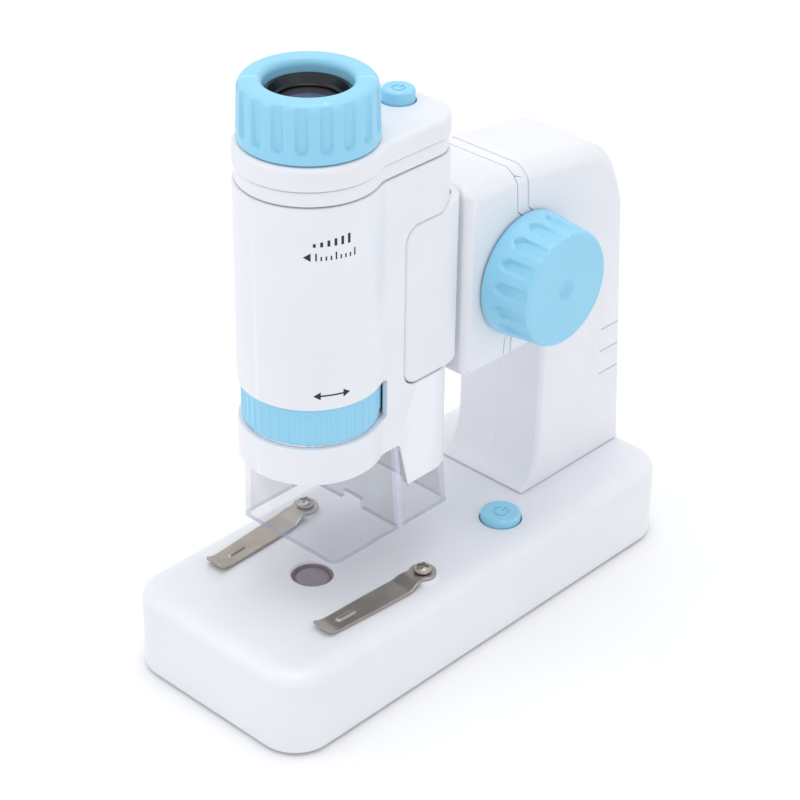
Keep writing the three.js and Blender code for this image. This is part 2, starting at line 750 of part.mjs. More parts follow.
function cradleSide(grow) {
  const front = cradleFrontY - grow;
  const rear = cradleRearY + grow * 10;
  const bottom = cradleBottom - grow;
  const top = cradleTop + grow;
  const shape = new THREE.Shape();
  shape.moveTo(front + cradleCorner, bottom);
  shape.lineTo(rear, bottom);
  shape.lineTo(rear, top + cradleRearLift);
  shape.lineTo(cradleLiftEndY, top + cradleRearLift);
  shape.lineTo(cradleLiftStartY, top);
  shape.lineTo(front + cradleCorner, top);
  shape.quadraticCurveTo(front, top, front, top - cradleCorner);
  shape.lineTo(front, bottom + cradleCorner);
  shape.quadraticCurveTo(front, bottom, front + cradleCorner, bottom);
  return shape;
}

function cradle() {
  const outer = rise(
    roundedRect(-barrelFlank, barrelFlank, -cradleRearY, cradleRearY, cradleRearCorner), 0, far,
  );
  const inside = barrelFlank - cradleWall;
  const core = box(-inside, inside, -far, far, -beyond, far + beyond);
  const inner = rise(barrelOutline(-gap), -beyond, far + beyond).intersect(core);
  const band = across(cradleSide(0), -barrelFlank - 2, barrelFlank + 2);
  const screws = cradleScrewHeights.flatMap((z) => [
    longDrum(0, z, cradleScrewShankRadius + 0.5, cradleRearY - 4, cradleRearY + beyond, 12),
    longDrum(0, z, cradleScrewHeadRadius + 0.4, cradleRearY - 4, cradleRearY - 1.1, 16),
  ]);
  return cut(outer.subtract(inner).intersect(band), screws);
}

function cradleScrew(z) {
  const head = longDrum(0, z, cradleScrewHeadRadius, cradleRearY - 2.3, cradleRearY - 1.4, 16);
  return head.add(longDrum(0, z, cradleScrewShankRadius, cradleRearY - 1.5, cradleRearY + 7, 12));
}

piece(aboveStage, 'barrel_cradle', cradle(), 'white');
cradleScrewHeights.forEach((z, i) => piece(aboveStage, `cradle_screw_${i + 1}`, cradleScrew(z), 'steel'));

// ---------------------------------------------------------------- barrel

// The side view of everything under the stepped lower edge of the barrel.
function hoodRegion(clearance) {
  const front = -barrelRadius - 5;
  const rear = barrelRearY + 5;
  return polygon([
    [front, 0], [rear, 0],
    [rear, barrelRearBottom - clearance], [stepRearY - clearance, barrelRearBottom - clearance],
    [stepFrontY - clearance, barrelBottom - clearance], [front, barrelBottom - clearance],
  ]);
}

function barrelShell() {
  const inside = barrelFlank - cradleWall - gap;
  const recess = across(cradleSide(gap), -reachX, reachX).subtract(box(-inside, inside, -far, far, 0, far));
  const liner = across(cradleSide(gap + barrelWall), -reachX, reachX)
    .subtract(box(barrelWall - inside, inside - barrelWall, -far, far, 0, far));
  const hollow = rise(barrelOutline(barrelWall), 0, far).subtract(liner);
  const focusWindow = box(-reachX, reachX, -reachX, focusWindowRearY, focusBottom, focusTop);
  const under = across(hoodRegion(0), -reachX, reachX);
  return cut(rise(barrelOutline(0), 10, bandBottom), [hollow, recess, focusWindow, under]);
}

function barrelBand() {
  return rise(barrelOutline(bandInset), bandBottom + gap, bandTop)
    .subtract(rise(barrelOutline(barrelWall + bandInset), 0, far));
}

function topCap() {
  const block = softTopped(barrelOutline(capEdge), capEdge, capEdge, bandTop + gap, barrelTop);
  const hollow = rise(barrelOutline(barrelWall), 0, barrelTop - capRoof);
  const neck = drum(0, 0, neckOuterRadius, barrelTop - 0.5, barrelTop + capNeckHeight, 32);
  return cut(block.subtract(hollow).add(neck), [
    drum(0, 0, neckInnerRadius, bandTop, far, 32),
    drum(0, topButtonY, topButtonRadius + gap, bandTop, far, 24),
  ]);
}

piece(aboveStage, 'barrel_shell', barrelShell(), 'white');
piece(aboveStage, 'barrel_band', barrelBand(), 'white');
piece(aboveStage, 'barrel_top_cap', topCap(), 'white');
const capUnder = barrelTop - capRoof;
const topButtonSolid = pushButton(0, topButtonY, topButtonRadius, capUnder, barrelTop + topButtonStand);
piece(aboveStage, 'barrel_power_button', topButtonSolid, 'blue');
const topSwitchTop = capUnder - gap - buttonFlange - buttonTravel - gap;
const topSwitchSolid = tactSwitch(0, topButtonY, topSwitchTop - plungerHeight - switchHeight);
piece(aboveStage, 'barrel_switch', topSwitchSolid, 'black');

// One AA cell stands in the rear lobe between two contacts.
const barrelCellY = barrelRearY - barrelWall - slideGap - cellRadius;
const barrelCellBottom = 72;
const barrelCellTop = barrelCellBottom + cellLength;
piece(aboveStage, 'barrel_cell', drum(0, barrelCellY, cellRadius, barrelCellBottom, barrelCellTop, 16), 'cell');
[['lower', barrelCellBottom - gap - contactThickness], ['upper', barrelCellTop + gap]].forEach(([name, z]) => {
  const plate = box(
    -contactHalf, contactHalf, barrelCellY - contactHalf, barrelCellY + contactHalf, z, z + contactThickness,
  );
  piece(aboveStage, `barrel_contact_${name}`, plate, 'steel');
});

// The specimen lamp leans towards the optical axis under its own board.
const lampBoardZ = barrelBottom + 2;
const lampBoardHalf = 9;
const lampBoardFrontY = 24;
const lampBoardRearY = 37;
const lampBoard = box(
  -lampBoardHalf, lampBoardHalf, lampBoardFrontY, lampBoardRearY, lampBoardZ, lampBoardZ + boardThickness,
);
piece(aboveStage, 'lamp_board', lampBoard, 'board');
const lampLean = 25;
const lampSolid = drum(0, 0, ledRadius, -9, -1.5, 16)
  .rotate([-lampLean, 0, 0])
  .translate([0, barrelCellY - 2, lampBoardZ - gap]);
piece(aboveStage, 'specimen_led', lampSolid, 'clear');

// ---------------------------------------------------------------- clear hood

function hoodHull(inset, lift) {
  const rim = barrelOutline(0.4 + inset).extractPoints(8).shape;
  const foot = roundedRect(
    inset - hoodHalfWidth, hoodHalfWidth - inset, hoodFrontY + inset, hoodRearY - inset,
    Math.max(hoodCorner - inset, 1),
  ).extractPoints(4).shape;
  return toSolid(new ConvexGeometry([
    ...rim.map((p) => new THREE.Vector3(p.x, p.y, barrelBottom + lift)),
    ...foot.map((p) => new THREE.Vector3(p.x, p.y, hoodBottom - lift)),
  ]));
}

function clearHood() {
  const region = across(hoodRegion(gap), -reachX, reachX);
  const partition = box(-reachX, reachX, stepFrontY - gap - hoodWall, stepFrontY - gap, 0, far);
  const outside = hoodHull(0, 0);
  const walls = outside.subtract(hoodHull(hoodWall, 0.2)).add(outside.intersect(partition));
  const neckInset = barrelWall + gap;
  const neck = rise(barrelOutline(neckInset), barrelBottom - 4, barrelBottom + hoodNeckHeight)
    .subtract(rise(barrelOutline(neckInset + hoodNeckWall), 0, far))
    .intersect(box(-reachX, reachX, -reachX, stepFrontY - 6, 0, far));
  return walls.intersect(region).add(neck);
}

piece(aboveStage, 'clear_hood', clearHood(), 'clear');

// ---------------------------------------------------------------- eyepiece, zoom and focus

function fluted(body, count, radius, grooveRadius, z0, z1) {
  const grooves = [];
  for (let i = 0; i < count; i += 1) {
    const turn = (i / count) * 2 * Math.PI;
    grooves.push(drum(radius * Math.cos(turn), radius * Math.sin(turn), grooveRadius, z0, z1, 6));
  }
  return cut(body, grooves);
}

function eyepieceRing() {
  const z0 = barrelTop + gap;
  const z1 = barrelTop + ringHeight + gap;
  const seatZ = barrelTop + capNeckHeight + slideGap;
  const body = turned([
    [neckOuterRadius + slideGap, z0], [ringBottomRadius, z0], [ringTopRadius, z1 - ringLip],
    [ringTopRadius - ringLip * 0.3, z1 - ringLip * 0.3], [ringTopRadius - ringLip, z1],
    [wellRadius + 1, z1 - 1], [wellRadius, z1 - 2.4],
    [wellRadius, seatZ], [neckOuterRadius + slideGap, seatZ], [neckOuterRadius + slideGap, z0],
  ], ringFlutes * 2);
  return fluted(body, ringFlutes, ringBottomRadius + 1.6, 2.5, z0 + 2.6, z1 + beyond);
}

piece(aboveStage, 'eyepiece_ring', eyepieceRing(), 'blue');
piece(aboveStage, 'eyepiece_cell', turned([
  [8, cellTop - 6], [wellRadius - gap, cellTop - 6], [wellRadius - gap, cellTop], [9.6, cellTop], [9.2, cellTop - 1.2],
  [8, cellTop - 1.8], [8, cellTop - 6],
]), 'black');
piece(aboveStage, 'eyepiece_lens', drum(0, 0, 8 - gap, cellTop - 5, cellTop - 2.6, 24), 'glass');

const tubeInner = zoomTubeRadius - zoomTubeWall;
piece(aboveStage, 'zoom_tube', turned([
  [tubeInner, zoomTubeBottom], [zoomTubeRadius, zoomTubeBottom], [zoomTubeRadius, zoomTubeTop],
  [tubeInner, zoomTubeTop], [tubeInner, zoomTubeBottom],
], 24), 'black');
piece(aboveStage, 'zoom_lens', drum(0, 0, tubeInner - gap, zoomTubeBottom + 1, zoomTubeBottom + 4, 24), 'glass');

function focusRing() {
  const z0 = focusBottom + slideGap;
  const z1 = focusTop - slideGap;
  const body = turned([
    [focusRingInner, z0], [focusRingRadius, z0], [focusRingRadius, z1], [focusRingInner, z1], [focusRingInner, z0],
  ], focusRibs);
  return fluted(body, focusRibs, focusRingRadius + 1.1, 1.35, z0 + 1.2, z1 - 1.2);
}

piece(aboveStage, 'focus_ring', focusRing(), 'blue');

const carrierInner = carrierRadius - carrierWall;
piece(aboveStage, 'objective_carrier', turned([
  [objectiveRadius + gap, carrierBottom], [objectiveRadius + 3, carrierBottom], [carrierRadius, carrierBottom + 6],
  [carrierRadius, carrierTop], [carrierInner, carrierTop], [carrierInner, carrierBottom + 8],
  [objectiveRadius + gap, carrierBottom + 5], [objectiveRadius + gap, carrierBottom],
], 24), 'black');
const objectiveZ = carrierBottom + 1;
piece(aboveStage, 'objective_lens', drum(0, 0, objectiveRadius, objectiveZ, objectiveZ + 2.5, 24), 'glass');

export default microscope;
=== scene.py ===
"""Looks of the desk microscope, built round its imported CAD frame.

Every shape is laid out in millimetres in the optical-axis frame: x and y from the optical axis,
z from the top of the base. build() moves it into the row frame, in metres.
"""

import json
import math

import bmesh
import bpy
from mathutils import Matrix, Vector


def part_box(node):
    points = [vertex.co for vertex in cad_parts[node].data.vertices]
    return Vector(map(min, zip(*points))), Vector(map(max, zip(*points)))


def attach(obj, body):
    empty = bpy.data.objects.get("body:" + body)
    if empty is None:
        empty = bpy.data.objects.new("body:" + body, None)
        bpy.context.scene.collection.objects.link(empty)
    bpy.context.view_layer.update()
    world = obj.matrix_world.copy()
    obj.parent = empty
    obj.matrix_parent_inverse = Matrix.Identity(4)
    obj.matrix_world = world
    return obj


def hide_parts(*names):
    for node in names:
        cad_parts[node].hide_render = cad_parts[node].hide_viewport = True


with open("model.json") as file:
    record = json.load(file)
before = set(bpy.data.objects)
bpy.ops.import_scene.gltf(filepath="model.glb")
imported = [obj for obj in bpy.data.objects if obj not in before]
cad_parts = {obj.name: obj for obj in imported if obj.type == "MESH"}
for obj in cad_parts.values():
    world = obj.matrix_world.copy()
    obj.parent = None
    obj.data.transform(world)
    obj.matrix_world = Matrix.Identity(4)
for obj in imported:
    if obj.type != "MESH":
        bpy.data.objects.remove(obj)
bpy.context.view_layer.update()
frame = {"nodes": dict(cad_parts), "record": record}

MM = 0.001
WINDOW_RECESS = 1.5

ring_low, ring_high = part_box("eyepiece_ring")
AXIS_Y = (ring_low.y + ring_high.y) / 2 / MM
STAGE_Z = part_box("stage_window")[1].z / MM + WINDOW_RECESS
ORIGIN = Vector((0, AXIS_Y, STAGE_Z))


def local_box(node):
    """A CAD node's two corners in the optical-axis frame."""
    low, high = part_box(node)
    return low / MM - ORIGIN, high / MM - ORIGIN


# ---- driving dimensions, millimetres ----
GAP = 0.3

BASE_CORNER = 12
BASE_WALL = 2.2
BASE_EDGE_RISE = 4.2
BASE_EDGE_INSET = 7
BOSS_RADIUS = 4.4
BOSS_HEIGHT = 1.2
WINDOW_RADIUS = 6.2
WINDOW_STEP = 4.9
BOSS_HOLE = 1.75
BUTTON_ROUNDING = 0.9
UNDER_BASE = -6  # below the base's top wall, for tools that cut through it

CLIP_THICKNESS = 0.8
CLIP_HUB_RADIUS = 4
CLIP_HUB_END = 2.65
CLIP_TIP_WIDTH = 7.0
CLIP_LEAN = 2.2
CLIP_REACH = 39.7
CLIP_NECK_HALF = 3.1
CLIP_SWELL = 0.85
CLIP_HOLE = 1.8
CLIP_TIP_ROUNDING = 1.2
CLIP_RIB_FROM_TIP = 9.6
CLIP_RIB_HALF = 2.5
CLIP_RIB_HEIGHT = 0.5
SCREW_SHANK = 1.4
SCREW_HEAD = 1.8

ARM_HALF = 16.5
ARM_WALL = 2.2
ARM_HEAD_FRONT = 45.5
ARM_HEAD_BOTTOM = 53
ARM_HEAD_TOP = 112.5
COLUMN_FRONT = 80.3
COLUMN_FOOT_FRONT = 73.5
SEAM_LOW_Y = 62
SEAM_HIGH_Y = 65.8
SEAM_BULGE_Y = 87.7
SEAM_BULGE_REACH = 20
GROOVE_HIGH_SHIFT = 4.2
GROOVE_LOW_SHIFT = 2.6
GROOVE = 0.7
EDGE_POWER = 1.35  # 1 is a quarter round, 2 a flat chamfer
PARTING = 0.05
SIDE_MARK_HEIGHTS = (28.2, 36.2, 44)
SIDE_MARK_Y = 108.3
SIDE_MARK_HALF = 0.25
BEHIND_ARM = 130
NECK_SLOT = (59, 96.5)
NECK_SLOT_HALF = 5
BUSH_HOLE = 4.8
ARM_SCREWS = ((101, 92), (101, 20))

KNOB_FACE = 17.5
KNOB_RIM = 3.2
KNOB_BLUNT = 1.5
KNOB_FLUTES = 16
KNOB_FLUTE_DEPTH = 0.35

BARREL_RADIUS = 20.3
BARREL_FLANK = 17.5
BARREL_REAR = 42.1
BARREL_REAR_CORNER = 10
BARREL_WALL = 2
BARREL_BOTTOM = 43.9
BARREL_REAR_BOTTOM = 28.8
BARREL_STEP = (17.7, 21.2)
BAND_BOTTOM = 127.9
BAND_TOP = 132.4
BAND_INSET = 0.6
BARREL_TOP = 139
CAP_ROUNDING = 1.7
NECK_RADIUS = 14.5
NECK_BORE = 12.2
NECK_HEIGHT = 8
TOP_BUTTON_RADIUS = 4.7
BASE_BUTTON_RADIUS = 6.1
PRINT_ANGLE = 62
SCALE_HEIGHT = 118.6
TICKS_HEIGHT = 114.3
ARROW_HEIGHT = 72.4

CRADLE_WALL = 2.3
CRADLE_FRONT = 19.2
CRADLE_BOTTOM = 61.8
CRADLE_TOP = 111.1
CRADLE_REAR_LIFT = 2.6
CRADLE_CORNER = 5.3
CRADLE_REAR = 44.9
CRADLE_REAR_CORNER = 8.4
CRADLE_ROUNDING = 1.3
CRADLE_SCREW_HEIGHTS = (78, 86)

RING_LOW_RADIUS = 19.0
RING_HIGH_RADIUS = 18.6
RING_WELL = 11.8
RING_BORE = 15.0
RING_LIP = 2.8
RING_SHOULDER = 2.6
RING_WELL_ROUNDING = 1.9
RING_WELL_FALL = 2.3
RING_FLUTES = 18
RING_FLUTE_DEPTH = 1.15

FOCUS_BOTTOM = 55.3
FOCUS_TOP = 67.8
FOCUS_WINDOW_REAR = 12.3
FOCUS_RIBS = 42
FOCUS_RIB_HEIGHT = 0.3

HOOD_BOTTOM = 17
HOOD_HALF = 19
HOOD_FRONT = -10
HOOD_REAR = 38
HOOD_CORNER = 3
HOOD_WALL = 1.5

CAMERA_PLACE = (391.7, -425.4, 422.6)  # row frame
CAMERA_AZIMUTH = 42.96
CAMERA_ELEVATION = 31.48
CAMERA_ROLL = 0.86
CAMERA_LENS = 104.4

LIGHTS = (  # name, place in the row frame, size, power
    ("key", (-450, -520, 700), 520, 0.7),
    ("side", (620, -120, 420), 420, 0.1),
    ("top", (0, 60, 1900), 1100, 9.0),
)
LIGHT_TARGET = (0, 0, 80)
FLOOR_HALF = 3000


# ---- materials ----


def linear(r, g, b):
    """A display colour, 0 to 255, as a linear one."""
    return tuple(((c / 255 + 0.055) / 1.055) ** 2.4 if c > 10 else c / 3294.6 for c in (r, g, b)) + (1,)


def shade(colour, factor):
    return tuple(c * factor for c in colour[:3]) + (1,)


class Finish:
    """A procedural material being put together round one Principled shader."""

    def __init__(self, name, **sockets):
        self.material = bpy.data.materials.new(name)
        self.material.use_nodes = True
        self.tree = self.material.node_tree
        self.shader = next(n for n in self.tree.nodes if n.type == "BSDF_PRINCIPLED")
        for socket, value in sockets.items():
            self.shader.inputs[socket.replace("_", " ")].default_value = value
        self.place = self.add("ShaderNodeTexCoord").outputs["Object"]

    def add(self, kind, **settings):
        node = self.tree.nodes.new(kind)
        for key, value in settings.items():
            setattr(node, key, value)
        return node

    def link(self, source, socket):
        self.tree.links.new(source, socket)

    def noise(self, size_mm, detail=3, stretch=(1, 1, 1)):
        """Noise with features of that size, longer along an axis by its stretch."""
        mapping = self.add("ShaderNodeMapping")
        mapping.inputs["Scale"].default_value = tuple(1 / (size_mm * MM * s) for s in stretch)
        self.link(self.place, mapping.inputs["Vector"])
        texture = self.add("ShaderNodeTexNoise")
        texture.inputs["Scale"].default_value = 1
        texture.inputs["Detail"].default_value = detail
        self.link(mapping.outputs["Vector"], texture.inputs["Vector"])
        return texture.outputs["Fac"]

    def ranged(self, value, low, high, from_low=0.3, from_high=0.7):
        node = self.add("ShaderNodeMapRange")
        for socket, number in zip(node.inputs[1:5], (from_low, from_high, low, high)):
            socket.default_value = number
        self.link(value, node.inputs[0])
        return node.outputs[0]

    def mixed(self, factor, first, second):
        node = self.add("ShaderNodeMix", data_type="RGBA")
        for socket, colour in ((node.inputs[6], first), (node.inputs[7], second)):
            if isinstance(colour, tuple):
                socket.default_value = colour
            else:
                self.link(colour, socket)
        self.link(factor, node.inputs[0])
        return node.outputs[2]

    def bump(self, height, strength, distance_mm):
        node = self.add("ShaderNodeBump")
        node.inputs["Strength"].default_value = strength
        node.inputs["Distance"].default_value = distance_mm * MM
        self.link(height, node.inputs["Height"])
        self.link(node.outputs["Normal"], self.shader.inputs["Normal"])

    def edges(self):
        """Near 1 on convex edges, where a painted highlight goes."""
        return self.ranged(self.add("ShaderNodeNewGeometry").outputs["Pointiness"], 0, 1, 0.52, 0.6)

    def cloudy(self, size_mm, detail, first, second):
        return self.mixed(self.ranged(self.noise(size_mm, detail), 0, 1), first, second)

    def colour(self, source):
        self.link(source, self.shader.inputs["Base Color"])

    def roughness(self, source, low, high):
        self.link(self.ranged(source, low, high), self.shader.inputs["Roughness"])


def moulded(name, colour, roughness=0.34, grain=0.35, edge_highlight=1.05):
    """Injection-moulded plastic: faint flow clouds, fine sparkled grain, convex edges painted lighter as a
    highlight.
    """
    finish = Finish(name, Metallic=0.0, IOR=1.49, Coat_Weight=0.1, Coat_Roughness=0.3)
    body = finish.cloudy(22, 4, shade(colour, 0.965), colour)
    # Painted highlight: convex edges take a lighter copy of the colour, edge_highlight times it.
    finish.colour(finish.mixed(finish.edges(), body, shade(colour, edge_highlight)))
    finish.roughness(finish.noise(6, 5), roughness - 0.05, roughness + 0.05)
    finish.bump(finish.noise(grain, 2), 0.05, 0.05)
    return finish.material


def metal(name, colour, roughness, stretch=(1, 1, 1), grain=0.12):
    """Brushed metal: long streaks in colour, gloss and relief, over broad tarnish clouds."""
    finish = Finish(name, Metallic=1.0, Anisotropic=0.3)
    streaks = finish.noise(grain, 4, stretch)
    tarnish = finish.cloudy(5, 5, shade(colour, 0.8), colour)
    finish.colour(finish.mixed(finish.ranged(streaks, 0, 0.35), tarnish, shade(colour, 1.15)))
    finish.roughness(streaks, roughness - 0.08, roughness + 0.12)
    finish.bump(streaks, 0.12, 0.03)
    return finish.material


def clear_moulding(name, opacity, low, high):
    """Clear styrene seen as a thin veil on each face, with flow lines and cloudy patches."""
    finish = Finish(name, Alpha=opacity, IOR=1.58, Coat_Weight=1.0, Coat_Roughness=0.04)
    haze = finish.noise(9, 4)
    finish.colour(finish.mixed(finish.ranged(haze, 0, 1), low, high))
    finish.roughness(haze, 0.05, 0.12)
    finish.bump(finish.noise(5, 2, (1, 1, 4)), 0.04, 0.2)
    return finish.material


def surface(name, colours, clouds, gloss, relief, **sockets):
    """Cloudy colour, uneven gloss and fine relief, each from noise of its own size and detail."""
    finish = Finish(name, **sockets)
    finish.colour(finish.cloudy(*clouds, *colours))
    finish.roughness(finish.noise(*gloss[:2]), *gloss[2:])
    finish.bump(finish.noise(*relief[:2]), *relief[2:])
    return finish.material


def circuit():
    """Green solder mask over copper tracks, with a few bare pads."""
    finish = Finish("circuit_board", Metallic=0.0, Coat_Weight=0.4)
    cells = finish.add("ShaderNodeTexVoronoi", feature="DISTANCE_TO_EDGE", distance="MANHATTAN")
    cells.inputs["Scale"].default_value = 350
    finish.link(finish.place, cells.inputs["Vector"])
    tracks = finish.ranged(cells.outputs["Distance"], 1, 0, 0.02, 0.06)
    mask = finish.mixed(tracks, linear(24, 84, 48), linear(70, 130, 62))
    pads = finish.ranged(finish.noise(1.6, 0), 0, 1, 0.68, 0.7)
    finish.colour(finish.mixed(pads, mask, linear(205, 190, 150)))
    finish.link(finish.ranged(pads, 0.45, 0.25, 0, 1), finish.shader.inputs["Roughness"])
    finish.bump(tracks, 0.3, 0.05)
    return finish.material


def cell_jacket():
    """A dry cell's printed film: slate bands with a copper collar towards the button end."""
    finish = Finish("cell_jacket", Metallic=0.35, Coat_Weight=0.6, Coat_Roughness=0.1)
    bands = finish.add("ShaderNodeTexWave", wave_type="BANDS", bands_direction="DIAGONAL")
    bands.inputs["Scale"].default_value = 14
    bands.inputs["Distortion"].default_value = 0
    finish.link(finish.place, bands.inputs["Vector"])
    collar = finish.ranged(bands.outputs["Fac"], 0, 1, 0.78, 0.8)
    film = finish.mixed(collar, linear(52, 66, 84), linear(176, 112, 62))
    scuffs = finish.ranged(finish.noise(1.2, 6), 0, 0.4, 0.55, 0.75)
    finish.colour(finish.mixed(scuffs, film, linear(140, 142, 148)))
    finish.roughness(finish.noise(3, 3), 0.25, 0.45)
    finish.bump(finish.noise(2, 3), 0.08, 0.05)
    return finish.material


def paper_floor():
    finish = Finish("floor_paper", Roughness=0.9, Specular_IOR_Level=0.1)
    finish.colour(finish.cloudy(40, 5, (0.93, 0.93, 0.935, 1), (0.95, 0.95, 0.955, 1)))
    finish.bump(finish.noise(1.5, 4), 0.03, 0.05)
    return finish.material


# Convex edges of these mouldings get a painted highlight, edge_highlight times their colour (1.12 on the
# blue, 1.6 on the black).
WHITE = moulded("white_shell", linear(236, 237, 242))
BLUE = moulded("blue_plastic", linear(149, 213, 241), 0.34, edge_highlight=1.12)
BLACK = moulded("black_plastic", linear(22, 22, 25), 0.22, 0.5, 1.6)
STEEL = metal("steel", linear(186, 178, 168), 0.36, (1, 12, 1))
BRASS = metal("brass", linear(206, 172, 104), 0.34)
CLEAR = clear_moulding("clear_plastic", 0.18, linear(138, 144, 156), linear(160, 165, 178))
# Painted light: a lighter, more opaque copy of the clear plastic for the hood wall's cut faces, standing
# in for light carried along the wall.
CLEAR_RIM_LIT = clear_moulding("clear_plastic_rim_lit", 0.55, linear(176, 176, 216), linear(206, 206, 236))
LENS = surface(
    "lens_glass", (linear(86, 74, 98), shade(linear(86, 74, 98), 1.5)),
    (7, 2), (2, 4, 0.03, 0.08), (3, 1, 0.02, 0.02),
    IOR=1.6, Transmission_Weight=0.55, Coat_Weight=1.0, Coat_Roughness=0.03,
)
FROSTED = surface(
    "frosted_window", (linear(164, 144, 154), linear(180, 161, 170)),
    (3, 4), (0.5, 3, 0.25, 0.42), (0.25, 2, 0.15, 0.03),
    IOR=1.5, Transmission_Weight=0.15, Subsurface_Weight=0.2,
)
RUBBER = surface(
    "rubber", (linear(44, 45, 48), linear(66, 66, 68)),
    (4, 6), (1, 4, 0.7, 0.95), (0.3, 4, 0.4, 0.1), Specular_IOR_Level=0.3,
)
INK = surface(
    "ink", (linear(24, 24, 27), linear(44, 44, 50)),
    (0.4, 4), (0.6, 3, 0.4, 0.6), (0.2, 2, 0.1, 0.02), IOR=1.45,
)
BOARD = circuit()
JACKET = cell_jacket()

SLOT_MATERIALS = {
    "white_shell": WHITE, "blue_plastic": BLUE, "steel": STEEL, "brass": BRASS, "black_plastic": BLACK,
    "clear_plastic": CLEAR, "lens_glass": LENS, "frosted_window": FROSTED, "circuit_board": BOARD,
    "rubber": RUBBER, "cell_jacket": JACKET,
}


# ---- shapes ----


def soften(corners, closed=True, steps=6):
    """A path's points, with each (x, y, radius) corner rounded."""
    points = []
    last = len(corners) - 1
    for i, (x, y, radius) in enumerate(corners):
        corner = Vector((x, y))
        if radius <= 0 or (not closed and i in (0, last)):
            points.append((x, y))
            continue
        before = (Vector(corners[i - 1][:2]) - corner).normalized()
        after = (Vector(corners[(i + 1) % len(corners)][:2]) - corner).normalized()
        half = before.angle(after) / 2
        centre = corner + (before + after).normalized() * (radius / math.sin(half))
        start = corner + before * (radius / math.tan(half)) - centre
        end = corner + after * (radius / math.tan(half)) - centre
        sweep = math.copysign(start.angle(end), start.x * end.y - start.y * end.x)
        for k in range(steps + 1):
            points.append(tuple(centre + Matrix.Rotation(sweep * k / steps, 2) @ start))
    return points


def curve(start, control, end, steps=12):
    """Points of a quadratic curve, its own start left out; each point may carry extra numbers."""
    points = []
    for k in range(1, steps + 1):
        t = k / steps
        weights = ((1 - t) ** 2, 2 * t * (1 - t), t * t)
        columns = zip(start, control, end)
        points.append(tuple(sum(w * p for w, p in zip(weights, column)) for column in columns))
    return points


def oblong(x0, x1, y0, y1):
    """A rectangle's corners, anticlockwise."""
    return [(x0, y0), (x1, y0), (x1, y1), (x0, y1)]


def quadrant(steps, first=0):
    """Evenly spaced angles up to a right angle, from the one numbered first."""
    return [math.pi / 2 * k / steps for k in range(first, steps + 1)]


def inward(points):
    """The inward way at each point of a closed anticlockwise path, long enough to keep walls even."""
    directions = []
    for i, (x, y) in enumerate(points):
        before = Vector((x, y)) - Vector(points[i - 1])
        after = Vector(points[(i + 1) % len(points)]) - Vector((x, y))
        first = Vector((-before.y, before.x)).normalized()
        second = Vector((-after.y, after.x)).normalized()
        directions.append((first + second) / max(0.4, 1 + first.dot(second)))
    return directions


def offset(points, inset):
    return [(x + d.x * inset, y + d.y * inset) for (x, y), d in zip(points, inward(points))]


def arc(radius, start, end, steps):
    """Points of a circle about the optical axis, its angles in degrees."""
    angles = [math.radians(start + (end - start) * k / steps) for k in range(steps + 1)]
    return [(radius * math.cos(a), radius * math.sin(a)) for a in angles]


def loft(rings, closed=False, ends=True):
    """Rings of points joined in order; closed joins the last to the first, ends caps both outer rings."""
    count = len(rings[0])
    points = [p for ring in rings for p in ring]
    faces = []
    pairs = len(rings) if closed else len(rings) - 1
    for r in range(pairs):
        low, high = r * count, ((r + 1) % len(rings)) * count
        for i in range(count):
            j = (i + 1) % count
            faces.append((low + i, low + j, high + j, high + i))
    if ends and not closed:
        faces.append(tuple(reversed(range(count))))
        faces.append(tuple((len(rings) - 1) * count + i for i in range(count)))
    return points, faces


def rise(outline, z0, z1):
    """A plan outline made into an upright prism."""
    return loft([[(x, y, z) for x, y in outline] for z in (z0, z1)])


def across(outline, x0, x1):
    """A side outline, (y, z), made thick along x."""
    return loft([[(x, y, z) for y, z in outline] for x in (x0, x1)])


def soft_rise(outline, levels):
    """A plan outline carried through (z, inset) levels."""
    directions = inward(outline)
    rings = []
    for z, inset in levels:
        placed = zip(outline, directions)
        rings.append([(x + d.x * inset, y + d.y * inset, z) for (x, y), d in placed])
    return loft(rings)


def quarter(z_edge, rise_by, inset_by, steps=8):
    """(z, inset) levels of a quarter-round edge that ends at z_edge."""
    return [(z_edge - rise_by * (1 - math.sin(a)), inset_by * (1 - math.cos(a))) for a in quadrant(steps)]


def turned(profile, segments=96, closed=False, shape=None, centre=(0, 0)):
    """A (radius, height) profile turned upright; shape may change a radius at an angle."""
    rings = []
    for radius, z in profile:
        ring = []
        for i in range(segments):
            angle = 2 * math.pi * i / segments
            r = shape(angle, radius, z) if shape else radius
            ring.append((centre[0] + r * math.cos(angle), centre[1] + r * math.sin(angle), z))
        rings.append(ring)
    return loft(rings, closed, ends=False)


def lower_rim(z, inset=0.0):
    """(z, inset) levels of a small rounded edge that starts at z."""
    return [(z, inset + 0.5), (z + 0.15, inset + 0.15), (z + 0.5, inset)]


def upper_rim(z, inset=0.0):
    return [(z - 0.5, inset), (z - 0.15, inset + 0.15), (z, inset + 0.5)]


def pin(radius, low, high, segments=48, centre=(0, 0)):
    """An upright round bar."""
    return turned([(0, low), (radius, low), (radius, high), (0, high)], segments, centre=centre)


def smooth(low, high, value):
    t = min(max((value - low) / (high - low), 0), 1)
    return t * t * (3 - 2 * t)


def grooves(count, floor_radius, share, end, run_in):
    """Flat-bottomed grooves round a turned piece, each with a rounded end at that height."""

    def shape(angle, radius, z):
        if radius <= floor_radius or z <= end:
            return radius
        off = abs((angle * count / math.tau) % 1 - 0.5) * 2
        short = max(0.0, 1 - (z - end) / run_in)
        width = share * math.sqrt(max(0.0, 1 - short**2))
        depth = 1 - smooth(width - 0.26, width + 0.02, off)
        return radius - (radius - floor_radius) * depth

    return shape


def moved(shape, matrix):
    points, faces = shape
    return [matrix @ Vector(p) for p in points], faces


def mirrored(shape):
    points, faces = shape
    return [(-x, y, z) for x, y, z in points], faces


